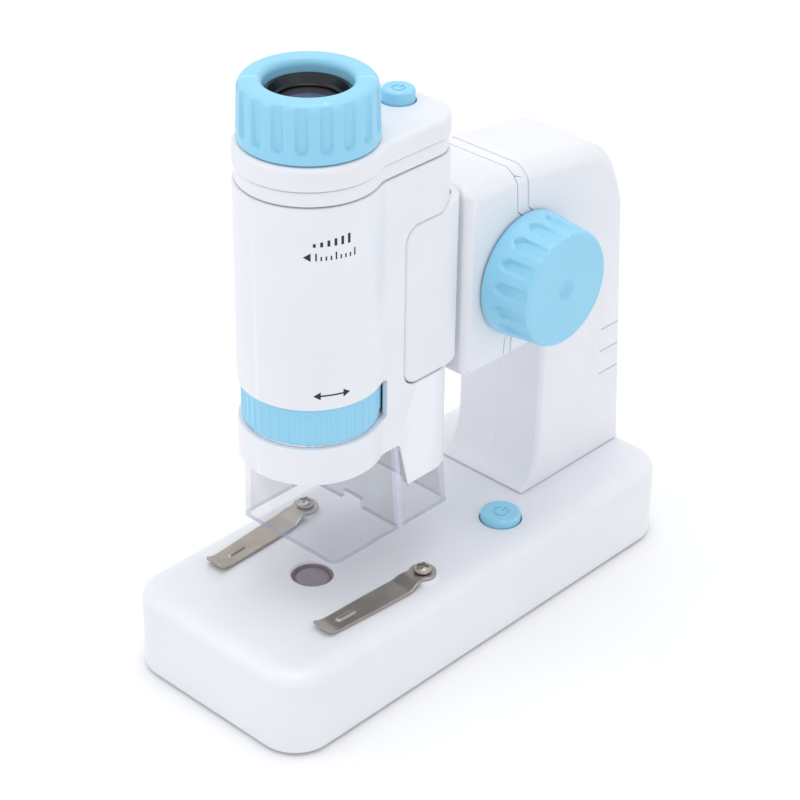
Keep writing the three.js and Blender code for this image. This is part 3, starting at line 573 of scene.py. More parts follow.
def build(name, shape, material=None):
    """An object from points and faces in the optical-axis frame."""
    points, faces = shape
    mesh = bpy.data.meshes.new(name)
    mesh.from_pydata([(Vector(p) + ORIGIN) * MM for p in points], [], faces)
    work = bmesh.new()
    work.from_mesh(mesh)
    bmesh.ops.remove_doubles(work, verts=work.verts, dist=0.0005 * MM)
    bmesh.ops.recalc_face_normals(work, faces=work.faces)
    work.to_mesh(mesh)
    work.free()
    made = bpy.data.objects.new(name, mesh)
    bpy.context.collection.objects.link(made)
    if material:
        mesh.materials.append(material)
    return made


def settle(obj):
    """Makes an object's modifiers part of its mesh."""
    graph = bpy.context.evaluated_depsgraph_get()
    mesh = bpy.data.meshes.new_from_object(obj.evaluated_get(graph))
    old = obj.data
    obj.modifiers.clear()
    obj.data = mesh
    bpy.data.meshes.remove(old)


def combine(obj, shapes, operation="DIFFERENCE", solver="EXACT"):
    """Cuts, joins or meets obj with shapes or objects, which are used up."""
    for shape in shapes:
        tool = shape if isinstance(shape, bpy.types.Object) else build("tool", shape)
        step = obj.modifiers.new("step", "BOOLEAN")
        step.operation = operation
        step.solver = solver
        step.object = tool
        settle(obj)
        mesh = tool.data
        bpy.data.objects.remove(tool)
        bpy.data.meshes.remove(mesh)
    return obj


def carve(obj, shapes, operation="DIFFERENCE"):
    """combine() by the solver that takes the arm's thin rounded walls."""
    return combine(obj, shapes, operation, "MANIFOLD")


def copy_of(obj, name):
    made = obj.copy()
    made.data = obj.data.copy()
    made.name = name
    bpy.context.collection.objects.link(made)
    return made


def ease(obj, width, segments=2, angle=38, parting=None):
    """Rounds an object's sharp edges a little, but not those on the parting plane x = parting."""
    work = bmesh.new()
    work.from_mesh(obj.data)
    bmesh.ops.remove_doubles(work, verts=work.verts, dist=0.02 * MM)
    bmesh.ops.dissolve_degenerate(work, edges=work.edges, dist=0.01 * MM)
    weight = work.edges.layers.float.new("bevel_weight_edge")
    for edge in work.edges:
        parted = parting is not None and all(abs(v.co.x / MM - parting) < 0.02 for v in edge.verts)
        if not parted and edge.is_manifold and edge.calc_face_angle() > math.radians(angle):
            edge[weight] = 1
    work.to_mesh(obj.data)
    work.free()
    step = obj.modifiers.new("edges", "BEVEL")
    step.width = width * MM
    step.segments = segments
    step.limit_method = "WEIGHT"
    step.use_clamp_overlap = False
    step.miter_outer = "MITER_ARC"
    settle(obj)
    return obj


def finished(obj, body, nodes, sharp=40):
    """Smooth shading, and the piece's place in the frame."""
    obj.data.shade_smooth()
    obj.data.set_sharp_from_angle(angle=math.radians(sharp))
    step = obj.modifiers.new("normals", "WEIGHTED_NORMAL")
    step.keep_sharp = True
    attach(obj, body)
    if nodes:
        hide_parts(*nodes)
    return obj


# ---- base and stage ----


def box_outline(x0, x1, y0, y1, radius, steps=12):
    return soften([(x1, y1, radius), (x0, y1, radius), (x0, y0, radius), (x1, y0, radius)], steps=steps)


def spot(node):
    """The middle of a node, seen from above, in the optical-axis frame."""
    low, high = local_box(node)
    return (low.x + high.x) / 2, (low.y + high.y) / 2


def rim_cutter(centre, radius, top, bottom, flare=0.5):
    """A round hole's cutter, flared to leave a softly rounded mouth."""
    mouth = [(radius + flare * (1 - math.cos(a)), top - flare * (1 - math.sin(a))) for a in quadrant(5)]
    profile = [(0, bottom), (radius, bottom), *mouth, (radius + flare, top + 2), (0, top + 2)]
    return turned(profile, 72, centre=centre)


def base_shell():
    low, high = local_box("base_shell")
    outline = box_outline(low.x, high.x, low.y, high.y, BASE_CORNER)
    bottom = low.z
    levels = [(bottom, 0.5), (bottom + 0.15, 0.2), (bottom + 0.5, 0)]
    levels += quarter(0, BASE_EDGE_RISE, BASE_EDGE_INSET, 12)
    shell = build("base_shell_looks", soft_rise(outline, levels), WHITE)
    inside_levels = [(bottom - 1, 0), *quarter(-BASE_WALL, BASE_EDGE_RISE, BASE_EDGE_INSET)]
    combine(shell, [soft_rise(offset(outline, BASE_WALL), inside_levels)])
    clip_spots = [spot("clip_screw_left"), spot("clip_screw_right")]
    below, stem = -BASE_WALL - 3, BOSS_RADIUS - 0.4
    boss = [
        (0, below), (stem, below), (stem, -1), (BOSS_RADIUS + 0.5, -0.4), (BOSS_RADIUS + 0.5, 0),
        (BOSS_RADIUS + 0.12, 0.12), (BOSS_RADIUS, 0.5), (BOSS_RADIUS, BOSS_HEIGHT - 0.35),
        (BOSS_RADIUS - 0.12, BOSS_HEIGHT - 0.1), (stem, BOSS_HEIGHT), (0, BOSS_HEIGHT),
    ]
    combine(shell, [turned(boss, 48, centre=c) for c in clip_spots], "UNION")
    combine(shell, [
        *[pin(BOSS_HOLE, -8, 5, 24, c) for c in clip_spots],
        rim_cutter((0, 0), WINDOW_RADIUS, 0, UNDER_BASE, 0.7),
        pin(WINDOW_RADIUS + 1.4, UNDER_BASE, -1.2),
        rim_cutter(spot("base_power_button"), BASE_BUTTON_RADIUS + GAP, 0, UNDER_BASE, 0.4),
    ])
    finished(shell, "stand", ["base_shell"], 30)


def stage_window():
    low, high = local_box("stage_window")
    top = high.z
    step, rim = WINDOW_STEP, WINDOW_RADIUS - 0.1
    profile = [
        (0, low.z), (high.x, low.z), (high.x, top - 0.4), (step + 0.7, top - 0.4),
        (step + 0.25, top - 0.3), (step, top - 0.05), (step - 0.3, top), (0, top),
    ]
    lens = build("stage_window_looks", turned(profile, 72), FROSTED)
    finished(lens, "stand", ["stage_window"])
    ring = [
        (step + 0.8, top - 0.35), (rim, top - 0.35), (rim, top + 0.25),
        (rim - 0.25, top + 0.4), (step + 1.05, top + 0.1), (step + 0.8, top - 0.1),
    ]
    seat = build("stage_window_ring", turned(ring, 72, closed=True), FROSTED)
    finished(seat, "stand", [])


def power_symbol(centre, top, size):
    """Tools that engrave an open ring with an upright bar."""
    inner, depth = size * 0.72, 0.3
    ring = arc(size, 122, 418, 40) + list(reversed(arc(inner, 122, 418, 40)))
    stroke = oblong(-size * 0.14, size * 0.14, size * 0.25, size * 1.1)
    tools = []
    for outline in (ring, stroke):
        placed = [(centre[0] + x, centre[1] + y) for x, y in outline]
        tools.append(rise(placed, top - depth, top + 2))
    return tools


def push_button(name, node, body, radius):
    low, high = local_box(node)
    centre = spot(node)
    flange = (high.x - low.x) / 2
    top = high.z
    profile = [(0, low.z), (flange, low.z), (flange, low.z + 1.2), (radius, low.z + 1.2)]
    edge = BUTTON_ROUNDING
    profile += [(radius - edge * (1 - math.cos(a)), top - edge + edge * math.sin(a)) for a in quadrant(7)]
    profile += [(radius - 1.3, top - 0.06), (radius - 1.8, top - 0.2)]
    profile += [(radius * 0.3, top - 0.24), (0, top - 0.24)]
    button = build(name, turned(profile, 80, centre=centre), BLUE)
    combine(button, power_symbol(centre, top - 0.2, radius * 0.42))
    finished(button, body, [node], 35)


def clip_path(distance):
    """Height of a clip's underside at a distance from the screw towards the tip."""
    hub = BOSS_HEIGHT + GAP
    fall = smooth(4.6, 9.0, distance)
    curl = 1.5 * max(0.0, (distance - 35.2) / 4.5) ** 1.6
    return hub + (0.4 - hub) * fall + curl


def stage_clip(side, name):
    cx, cy = spot(f"clip_screw_{name}")
    length, hub, tip_round = CLIP_REACH, CLIP_HUB_RADIUS, CLIP_TIP_ROUNDING
    widest = CLIP_NECK_HALF + CLIP_SWELL
    rows, columns = 170, 40
    top_rows, under_rows = [], []
    for i in range(rows + 1):
        d = -hub + (length + hub) * i / rows
        if d < CLIP_HUB_END:
            half = math.sqrt(max(0.0, hub**2 - d * d))
        else:
            half = CLIP_NECK_HALF + CLIP_SWELL * smooth(2.5, 9, d)
            half -= (widest - CLIP_TIP_WIDTH / 2) * smooth(14, length, d)
        tip = length - d
        if tip < tip_round:
            half -= tip_round - math.sqrt(max(0.0, tip_round**2 - (tip_round - tip) ** 2))
        middle = -CLIP_LEAN * max(d, 0) / length
        top_row, under_row = [], []
        for k in range(columns + 1):
            across_part = -1 + 2 * k / columns
            x = middle + half * across_part
            z = clip_path(d)
            past_rib = max(0.0, abs(d - (length - CLIP_RIB_FROM_TIP)) - CLIP_RIB_HALF)
            rib = CLIP_RIB_HEIGHT * (1 - smooth(0.5, 1.05, math.hypot(x - middle, past_rib)))
            edge = 0.1 * smooth(0.9, 1.0, abs(across_part))
            sx = x if side > 0 else -x
            top_row.append((cx + sx, cy - d, z + CLIP_THICKNESS + rib - edge))
            under_row.append((cx + sx, cy - d, z + rib * 0.8))
        top_rows.append(top_row)
        under_rows.append(under_row)
    rings = [top + list(reversed(under)) for top, under in zip(top_rows, under_rows)]
    clip = build(f"stage_clip_{name}_looks", loft(rings), STEEL)
    combine(clip, [pin(CLIP_HOLE, -2, 6, 32, (cx, cy))])
    finished(clip, f"stage_clip_{name}_body", [f"stage_clip_{name}"], 45)


def clip_screw(name):
    low, high = local_box(f"clip_screw_{name}")
    centre = spot(f"clip_screw_{name}")
    radius = (high.x - low.x) / 2
    top = high.z
    seat = top - SCREW_HEAD
    brim = seat + 0.5
    dome = top - brim
    profile = [(0, low.z), (SCREW_SHANK, low.z), (SCREW_SHANK, seat)]
    profile += [(radius - 0.15, seat), (radius, seat + 0.15), (radius, brim)]
    profile += [(radius * math.cos(a), brim + dome * math.sin(a)) for a in quadrant(9, 1)]
    screw = build(f"clip_screw_{name}_looks", turned(profile, 56, centre=centre), STEEL)
    tools = []
    half_length, half_width = 1.75, 0.4
    slot = rise(oblong(-half_length, half_length, -half_width, half_width), 0, 3)
    for turn in (28, 118):
        place = Matrix.Translation((*centre, top - 0.95)) @ Matrix.Rotation(math.radians(turn), 4, "Z")
        tools.append(moved(slot, place))
    combine(screw, tools)
    drill = [(0, top - 1.3), (0.75, top - 0.7), (0.75, top + 1), (0, top + 1)]
    combine(screw, [turned(drill, 24, centre=centre)])
    ease(screw, 0.06, 1, 50)
    finished(screw, "stand", [f"clip_screw_{name}"], 40)


# ---- arm and head ----


def arm_outline():
    """The side view as (y, z, edge rounding) points, anticlockwise."""
    top_edge, front_edge, low_edge, column_edge, rear_edge = 4.6, 2.6, 1.6, 1.6, 1.1
    front, bottom, top = ARM_HEAD_FRONT, ARM_HEAD_BOTTOM, ARM_HEAD_TOP
    low_corner, head_corner, column_corner = 2.4, 3, 5
    points = [(front, bottom + low_corner, front_edge)]
    points += curve(points[-1], (front, bottom, low_edge), (front + low_corner, bottom, low_edge), 6)
    points.append((COLUMN_FRONT - column_corner, bottom, low_edge))
    under_head = (COLUMN_FRONT, bottom - column_corner, column_edge)
    points += curve(points[-1], (COLUMN_FRONT, bottom, low_edge), under_head, 8)
    points.append((COLUMN_FRONT, 18, column_edge))
    points += curve(points[-1], (COLUMN_FRONT, 6, column_edge), (COLUMN_FOOT_FRONT + 1.2, 1.5, 0.5), 14)
    points += [(COLUMN_FOOT_FRONT, 1.1, 0.3), (COLUMN_FOOT_FRONT, GAP, 0.2)]
    points.append((120.5, GAP, 0.2))
    points.append((120.4, 1.2, rear_edge))
    points.append((114.4, 86, rear_edge))
    points += curve(points[-1], (113.7, 96, 3.6), (110.6, 101.4, top_edge), 10)
    points += curve(points[-1], (106.3, 107.2, top_edge), (97, 108.5, top_edge), 10)
    points.append((80, 110.9, top_edge))
    points += curve(points[-1], (68, 112.5, top_edge), (60, 112.5, top_edge), 6)
    points.append((front + head_corner, top, top_edge))
    points += curve(points[-1], (front, top, top_edge), (front, top - head_corner, front_edge), 8)
    points.append((front, top - 14, front_edge))
    return points


def hollow_outline():
    """The arm's outline with a plain foot a little above the base, for the space inside it."""
    points = arm_outline()
    low = [i for i, point in enumerate(points) if point[1] < 6]
    foot = [(COLUMN_FRONT - 0.5, 3, 1), (120.2, 3, 1)]
    return points[:low[0]] + foot + points[low[-1] + 1:]


def arm_solid(name, triples, inset=0.0, material=None):
    """The whole arm and head as one solid, its side edges rounded by each point's own radius."""
    path = [(y, z) for y, z, _ in triples]
    directions = inward(path)
    steps = 7
    rings = []
    for side in (-1, 1):
        half_rings = []
        for k in range(steps + 1):
            angle = math.pi / 2 * k / steps
            pulled, sunk = 1 - math.sin(angle) ** EDGE_POWER, 1 - math.cos(angle) ** EDGE_POWER
            ring = []
            for (y, z, radius), d in zip(triples, directions):
                edge = max(radius - inset, 0.1)
                pull = inset + edge * pulled
                x = side * (ARM_HALF - inset - edge * sunk)
                ring.append((x, y + d.x * pull, z + d.y * pull))
            half_rings.append(ring)
        rings += half_rings if side < 0 else list(reversed(half_rings))
    return build(name, loft(rings), material)


def seam(shift_top, shift_bottom):
    """The curved seam between head cover and arm, from below the head to above it."""
    shaft_z = local_box("shaft_bush_right")[0].z + 4.5
    low = (SEAM_LOW_Y + 0.6 + shift_bottom, shaft_z - SEAM_BULGE_REACH)
    high = (SEAM_HIGH_Y + 0.4 + shift_top, shaft_z + SEAM_BULGE_REACH)
    bulge = (SEAM_BULGE_Y + (shift_top + shift_bottom) / 2, shaft_z)
    foot = (SEAM_LOW_Y + shift_bottom, ARM_HEAD_BOTTOM - 3)
    crown = (SEAM_HIGH_Y - 0.8 + shift_top, ARM_HEAD_TOP + 3)
    return [foot, low, *curve(low, bulge, high, 28), crown]


def strip(shift_top, shift_bottom, width, reach):
    """A thin curved sheet along the seam, as a tool."""
    line = seam(shift_top, shift_bottom)
    back = [(y + width, z) for y, z in reversed(line)]
    return across(line + back, -reach, reach)


def arm():
    reach = ARM_HALF + 5
    tube = arm_solid("arm_tube", arm_outline(), 0.0, WHITE)
    carve(tube, [arm_solid("arm_hollow", hollow_outline(), ARM_WALL)])
    core = arm_solid("arm_core", arm_outline(), 0.45)
    surface_tools = [strip(GROOVE_HIGH_SHIFT, GROOVE_LOW_SHIFT, GROOVE, reach)]
    for height in SIDE_MARK_HEIGHTS:
        mark = oblong(SIDE_MARK_Y, BEHIND_ARM, height - SIDE_MARK_HALF, height + SIDE_MARK_HALF)
        surface_tools.append(across(mark, -reach, reach))
    marks = []
    for shape in surface_tools:
        tool = build("mark", shape)
        carve(tool, [copy_of(core, "core")])
        marks.append(tool)
    bpy.data.objects.remove(core)

    ahead = ARM_HEAD_FRONT - 8
    before_head = [(ahead, ARM_HEAD_TOP + 3), (ahead, ARM_HEAD_BOTTOM - 3)]
    front_part = seam(-GAP / 2, -GAP / 2) + before_head
    rear_cut = seam(GAP / 2, GAP / 2) + before_head
    cover = copy_of(tube, "head_front_cover_looks")
    carve(cover, [across(front_part, -reach, reach)], "INTERSECT")
    neck_slot = soften([(x, z, 1.5) for x, z in oblong(-NECK_SLOT_HALF, NECK_SLOT_HALF, *NECK_SLOT)])
    bush = local_box("shaft_bush_right")
    shaft_y, shaft_z = (bush[0].y + bush[1].y) / 2, (bush[0].z + bush[1].z) / 2
    lying = Matrix.Translation((0, shaft_y, shaft_z)) @ Matrix.Rotation(math.pi / 2, 4, "Y")
    bush_hole = moved(pin(BUSH_HOLE, -30, 30), lying)
    slot_tool = loft([[(x, y, z) for x, z in neck_slot] for y in (ARM_HEAD_FRONT - 2, ARM_HEAD_FRONT + 5)])
    carve(cover, [slot_tool, bush_hole])
    ease(cover, 0.14, 2, 42)
    finished(cover, "stand", ["head_front_cover"], 30)

    rear = carve(tube, [across(rear_cut, -reach, reach), *marks])
    screw_passage = turned([(0, -20), (3.5, -20), (3, -16), (3, -14.4), (0, -14.4)], 40)
    for side, name in ((-1, "left"), (1, "right")):
        half = copy_of(rear, f"arm_{name}_shell_looks")
        x0, x1 = (PARTING / 2, reach) if side > 0 else (-reach, -PARTING / 2)
        carve(half, [across(oblong(0, 200, -5, 200), x0, x1)], "INTERSECT")
        if side < 0:
            for y, z in ARM_SCREWS:
                sunk = Matrix.Translation((0, y, z)) @ Matrix.Rotation(math.pi / 2, 4, "Y")
                carve(half, [moved(screw_passage, sunk)])
        ease(half, 0.14, 2, 42, side * PARTING / 2)
        finished(half, "stand", [f"arm_{name}_shell"], 30)
    bpy.data.objects.remove(rear)


# ---- focus knobs ----


def knob(side, name):
    low, high = local_box(f"focus_knob_{name}")
    thickness = high.x - low.x
    shaft_y, shaft_z = (low.y + high.y) / 2, (low.z + high.z) / 2
    back, rim, face, blunt = (high.y - low.y) / 2, KNOB_RIM, KNOB_FACE, KNOB_BLUNT
    profile = [(2.8, 0.0), (back - 0.7, 0.0), (back - 0.2, 0.2), (back, 0.7)]
    straight = 26
    for k in range(straight + 1):
        t = k / straight
        profile.append((back + (face - back) * t, rim * 0.4 + (thickness - blunt - rim * 0.4) * t))
    for a in quadrant(7, 1):
        profile.append((face - blunt * (1 - math.cos(a)), thickness - blunt * (1 - math.sin(a))))
    dimple = [
        (face - 2.4, 0.08), (face - 3, 0.1), (3.5, 0.1), (3.1, 0.2),
        (2.4, 0.85), (1.6, 1.25), (0.9, 1.35), (0, 1.35),
    ]
    profile += [(radius, thickness - sunk) for radius, sunk in dimple]
    flutes = grooves(KNOB_FLUTES, face - KNOB_FLUTE_DEPTH, 0.6, 4.6, 2.2)
    solid = turned(profile, KNOB_FLUTES * 20, shape=flutes)
    quarter_turn = Matrix.Rotation(math.pi / 2, 4, "Y")
    start = low.x if side > 0 else -high.x
    placed = moved(solid, Matrix.Translation((start, shaft_y, shaft_z)) @ quarter_turn)
    if side < 0:
        placed = mirrored(placed)
    piece = build(f"focus_knob_{name}_looks", placed, BLUE)
    close_rim(piece)
    finished(piece, "focus_drive", [f"focus_knob_{name}"], 35)


def close_rim(obj):
    """Closes the open rim in a turned piece's back with a flat face."""
    work = bmesh.new()
    work.from_mesh(obj.data)
    bmesh.ops.holes_fill(work, edges=[e for e in work.edges if e.is_boundary], sides=0)
    bmesh.ops.recalc_face_normals(work, faces=work.faces)
    work.to_mesh(obj.data)
    work.free()


# ---- barrel ----


def barrel_outline():
    """The plan of the barrel, anticlockwise from the left side of the round front lobe."""
    turn = math.degrees(math.acos(BARREL_FLANK / BARREL_RADIUS))
    front = arc(BARREL_RADIUS, 180 - turn, 360 + turn, 84)
    # The lobe runs into the flank through a soft hollow instead of a hard corner.
    front = [p for p in front if p[1] < BARREL_RADIUS * math.sin(math.radians(turn)) - 1.3]
    rear = BARREL_REAR - BARREL_REAR_CORNER
    side = BARREL_FLANK - BARREL_REAR_CORNER
    right = [(BARREL_FLANK + 0.25, 10.2), (BARREL_FLANK + 0.04, 11.6), (BARREL_FLANK, 13)]
    right_corner = [(side + x, rear + y) for x, y in arc(BARREL_REAR_CORNER, 0, 90, 16)]
    left_corner = [(x - side, rear + y) for x, y in arc(BARREL_REAR_CORNER, 90, 180, 16)]
    left = [(-x, y) for x, y in reversed(right)]
    return front + right + right_corner + left_corner + left


def cradle_edge(y, grow):
    """Lowest and highest height of the cradle at a distance behind the optical axis."""
    low, high = CRADLE_BOTTOM - grow, CRADLE_TOP + grow + CRADLE_REAR_LIFT * smooth(32.5, 39, y)
    into_corner = CRADLE_FRONT - grow + CRADLE_CORNER - y
    if into_corner > 0:
        cut_off = CRADLE_CORNER - math.sqrt(max(0.0, CRADLE_CORNER**2 - into_corner**2))
        low, high = low + cut_off, high - cut_off
    return low, high


def cradle_region(grow, rear):
    """The cradle's side view as a closed outline."""
    front = CRADLE_FRONT - grow
    spots = [front + (rear - front) * (1 - math.cos(a)) for a in quadrant(40)]
    edges = [(y, *cradle_edge(y, grow)) for y in spots]
    return [(y, low) for y, low, _ in edges] + [(y, high) for y, _, high in reversed(edges)]


def barrel_shell():
    outline = barrel_outline()
    shell = build("barrel_shell_looks", soft_rise(outline, [(10, 0), *upper_rim(BAND_BOTTOM)]), WHITE)
    inside = BARREL_FLANK - CRADLE_WALL - GAP
    reach = BARREL_RADIUS + 3
    front, rear = -30, BARREL_REAR + 5
    recesses = []
    for x0, x1 in ((-reach, -inside), (inside, reach)):
        recesses.append(across(cradle_region(GAP, rear), x0, x1))
    hollow = build("hollow", rise(offset(outline, BARREL_WALL), 0, 200))
    inner = inside - BARREL_WALL
    for x0, x1 in ((-reach, -inner), (inner, reach)):
        combine(hollow, [across(cradle_region(GAP + BARREL_WALL, rear), x0, x1)])
    window = soften([
        (front, FOCUS_BOTTOM, 0), (FOCUS_WINDOW_REAR, FOCUS_BOTTOM, 1.2),
        (FOCUS_WINDOW_REAR, FOCUS_TOP, 1.2), (front, FOCUS_TOP, 0),
    ])
    under = soften([
        (front, 0, 0), (rear, 0, 0), (rear, BARREL_REAR_BOTTOM, 0),
        (BARREL_STEP[1], BARREL_REAR_BOTTOM, 0.8), (BARREL_STEP[0], BARREL_BOTTOM, 1.6),
        (front, BARREL_BOTTOM, 0),
    ])
    combine(shell, [hollow, *recesses, across(window, -reach, reach), across(under, -reach, reach)])
    ease(shell, 0.28, 3, 45)
    finished(shell, "barrel", ["barrel_shell"], 30)


def barrel_band():
    low, high = BAND_BOTTOM + GAP, BAND_TOP
    levels = lower_rim(low, BAND_INSET) + upper_rim(high, BAND_INSET)
    band = build("barrel_band_looks", soft_rise(barrel_outline(), levels), WHITE)
    combine(band, [rise(offset(barrel_outline(), BARREL_WALL + BAND_INSET), low - 1, high + 1)])
    finished(band, "barrel", ["barrel_band"], 30)


def top_cap():
    outline = barrel_outline()
    low = BAND_TOP + GAP
    levels = lower_rim(low) + quarter(BARREL_TOP, CAP_ROUNDING, CAP_ROUNDING, 9)
    cap = build("barrel_top_cap_looks", soft_rise(outline, levels), WHITE)
    button_spot = spot("barrel_power_button")
    combine(cap, [pin(NECK_RADIUS, BARREL_TOP - 1, BARREL_TOP + NECK_HEIGHT, 96)], "UNION")
    combine(cap, [
        rise(offset(outline, BARREL_WALL), 100, BARREL_TOP - 2),
        pin(NECK_BORE, 100, 200, 96),
        rim_cutter(button_spot, TOP_BUTTON_RADIUS + GAP, BARREL_TOP, BARREL_TOP - 6, 0.4),
    ])
    finished(cap, "barrel", ["barrel_top_cap"], 30)


def wrapped(outline, angle, height):
    """A flat mark wrapped round the barrel's front lobe, as a thin film."""
    middle = math.radians(angle)
    rings = []
    for lift in (-0.1, 0.035):
        ring = []
        for s, z in outline:
            a = middle + s / BARREL_RADIUS
            r = BARREL_RADIUS + lift
            ring.append((r * math.sin(a), -r * math.cos(a), height + z))
        rings.append(ring)
    return loft(rings)


def fine(outline, step=0.5):
    """An outline with points added, so that it bends round the barrel."""
    points = []
    for i, (x, y) in enumerate(outline):
        nx, ny = outline[(i + 1) % len(outline)]
        count = max(1, int(math.hypot(nx - x, ny - y) / step))
        points += [(x + (nx - x) * k / count, y + (ny - y) * k / count) for k in range(count)]
    return points


def bar(x0, x1, z0, z1):
    return fine(oblong(x0, x1, z0, z1))


def printed_marks():
    """Plain graduations in place of lettering: a rising scale, a pointer with ticks, a double arrow."""
    shapes = []
    foot, shortest, growth = -1.4, 1.0, 0.36
    for i in range(6):
        left = -5 + i * 1.9
        shapes.append((bar(left, left + 0.75, foot, foot + shortest + growth * i), SCALE_HEIGHT))
    shapes.append((fine([(-7.6, 0), (-5.6, 1.2), (-5.6, -1.2)]), TICKS_HEIGHT))
    for i in range(9):
        left = -4.4 + i * 1.35
        shapes.append((bar(left, left + 0.4, -1.1, 1.1 if i % 4 == 0 else 0.1), TICKS_HEIGHT))
    shapes.append((bar(-3.4, 3.4, -0.22, 0.22), ARROW_HEIGHT))
    for side in (-1, 1):
        tip = [(side * 5.2, 0), (side * 3.2, 1.2), (side * 3.2, -1.2)]
        shapes.append((fine(tip if side < 0 else tip[::-1]), ARROW_HEIGHT))
    points, faces = [], []
    for outline, height in shapes:
        more_points, more_faces = wrapped(outline, PRINT_ANGLE, height)
        faces += [tuple(i + len(points) for i in face) for face in more_faces]
        points += more_points
    finished(build("barrel_print", (points, faces), INK), "barrel", [])


# ---- cradle ----


def cradle():
    """A sleeve round three sides of the barrel, its outer face pillowed towards every edge."""
    flank, rear, corner = BARREL_FLANK + 0.15, CRADLE_REAR, CRADLE_REAR_CORNER
    rounding = CRADLE_ROUNDING
    flat = rear - corner - CRADLE_FRONT
    right = [(flank, CRADLE_FRONT + flat * (1 - math.cos(a))) for a in quadrant(26)]
    corner_points = [(flank - corner + x, rear - corner + y) for x, y in arc(corner, 0, 90, 12)][1:]
    half_plan = right + corner_points + [(k / 4 * (flank - corner), rear) for k in (3, 2, 1)]
    plan = half_plan + [(0, rear)] + [(-x, y) for x, y in reversed(half_plan)]
    columns_up = [0, 0.02, 0.06, 0.12, 0.22, 0.36, 0.55, 0.8, 1.1, 1.5]
    outer, inner = [], []
    for i, (x, y) in enumerate(plan):
        previous, following = Vector(plan[max(i - 1, 0)]), Vector(plan[min(i + 1, len(plan) - 1)])
        along = (following - previous).normalized()
        inner_way = Vector((-along.y, along.x))
        low, high = cradle_edge(y, 0)
        heights = [low + c for c in columns_up]
        heights += [low + 1.5 + (high - low - 3) * k / 20 for k in range(1, 20)]
        heights += [high - c for c in reversed(columns_up)]
        outer_column, inner_column = [], []
        for z in heights:
            from_front = (y - CRADLE_FRONT) if abs(x) > flank - 0.01 else rounding
            reach = min(z - low, high - z, from_front, rounding)
            fall = rounding - math.sqrt(max(0.0, rounding**2 - (rounding - max(reach, 0)) ** 2))
            outer_column.append((x + inner_way.x * fall, y + inner_way.y * fall, z))
            inner_column.append((x + inner_way.x * CRADLE_WALL, y + inner_way.y * CRADLE_WALL, z))
        outer.append(outer_column)
        inner.append(list(reversed(inner_column)))
    rings = [o + n for o, n in zip(outer, inner)]
    sleeve = build("barrel_cradle_looks", loft(rings), WHITE)
    for screw_z in CRADLE_SCREW_HEIGHTS:
        sink = [(x, screw_z + z) for x, z in arc(3, 0, 360 - 360 / 32, 31)]
        combine(sleeve, [loft([[(x, y, z) for x, z in sink] for y in (rear - 6, rear - 1.2)])])
    finished(sleeve, "carriage", ["barrel_cradle"], 30)


# ---- hood ----


def reach_along(outline, centre, angle):
    """Where a ray from centre leaves a closed outline."""
    way = Vector((math.cos(angle), math.sin(angle)))
    for i, corner in enumerate(outline):
        start, end = Vector(outline[i - 1]) - centre, Vector(corner) - centre
        edge = end - start
        turn = way.x * edge.y - way.y * edge.x
        if abs(turn) < 1e-9:
            continue
        out = (start.x * edge.y - start.y * edge.x) / turn
        part = (start.x * way.y - start.y * way.x) / turn
        if out > 0 and -1e-9 <= part <= 1 + 1e-9:
            return centre + way * out
    raise ValueError("the centre is outside the outline")


def hood_body(inset, lift):
    """The flared hood from its foot up to the barrel, as one smooth ruled form."""
    rim = offset(barrel_outline(), 0.4 + inset)
    half, corner = HOOD_HALF - inset, max(HOOD_CORNER - inset, 1)
    foot = box_outline(-half, half, HOOD_FRONT + inset, HOOD_REAR - inset, corner, 8)
    centre = Vector((0, (HOOD_FRONT + HOOD_REAR) / 2))
    angles = [math.tau * k / 192 for k in range(192)]
    low = [reach_along(foot, centre, a) for a in angles]
    high = [reach_along(rim, centre, a) for a in angles]
    rings = []
    for t in (0, 0.25, 0.5, 0.75, 1):
        z = HOOD_BOTTOM - lift + (BARREL_BOTTOM - HOOD_BOTTOM + 2 * lift) * t
        rings.append([(*(a.lerp(b, t)), z) for a, b in zip(low, high)])
    return loft(rings)


def clear_hood():
    reach = 30
    inside = BARREL_STEP[0] - GAP
    hood = build("clear_hood_looks", hood_body(0, 0), CLEAR)
    hollow = build("hood_hollow", hood_body(HOOD_WALL, 0.2))
    combine(hollow, [across(oblong(inside - HOOD_WALL, inside, 0, 200), -reach, reach)])
    front, rear = -reach, BARREL_REAR + 5
    front_top, rear_top = BARREL_BOTTOM - GAP, BARREL_REAR_BOTTOM - GAP
    region = [
        (front, 0), (rear, 0), (rear, rear_top), (BARREL_STEP[1] - GAP, rear_top),
        (inside, front_top), (front, front_top),
    ]
    combine(hood, [hollow])
    combine(hood, [across(region, -reach, reach)], "INTERSECT")
    low, high = HOOD_BOTTOM - 2, HOOD_BOTTOM + 3
    notch = soften([(-4, low, 0), (4, low, 0), (4, high, 1), (-4, high, 1)])
    combine(hood, [loft([[(x, y, z) for x, z in notch] for y in (inside - HOOD_WALL - 1, inside + 0.5)])])
    # The foot and the side cut faces take the lighter copy: painted light seen through the wall edge-on.
    hood.data.materials.append(CLEAR_RIM_LIT)
    for face in hood.data.polygons:
        middle = face.center / MM - ORIGIN
        at_foot = abs(face.normal.z) > 0.7 and middle.z < HOOD_BOTTOM + 4
        at_side = abs(face.normal.x) > 0.7 and abs(middle.x) > HOOD_HALF - 2 * HOOD_WALL
        if at_foot or (at_side and inside - HOOD_WALL - 0.1 < middle.y < inside + 0.1):
            face.material_index = 1
    finished(hood, "barrel", ["clear_hood"], 25)


# ---- eyepiece and focus ring ----


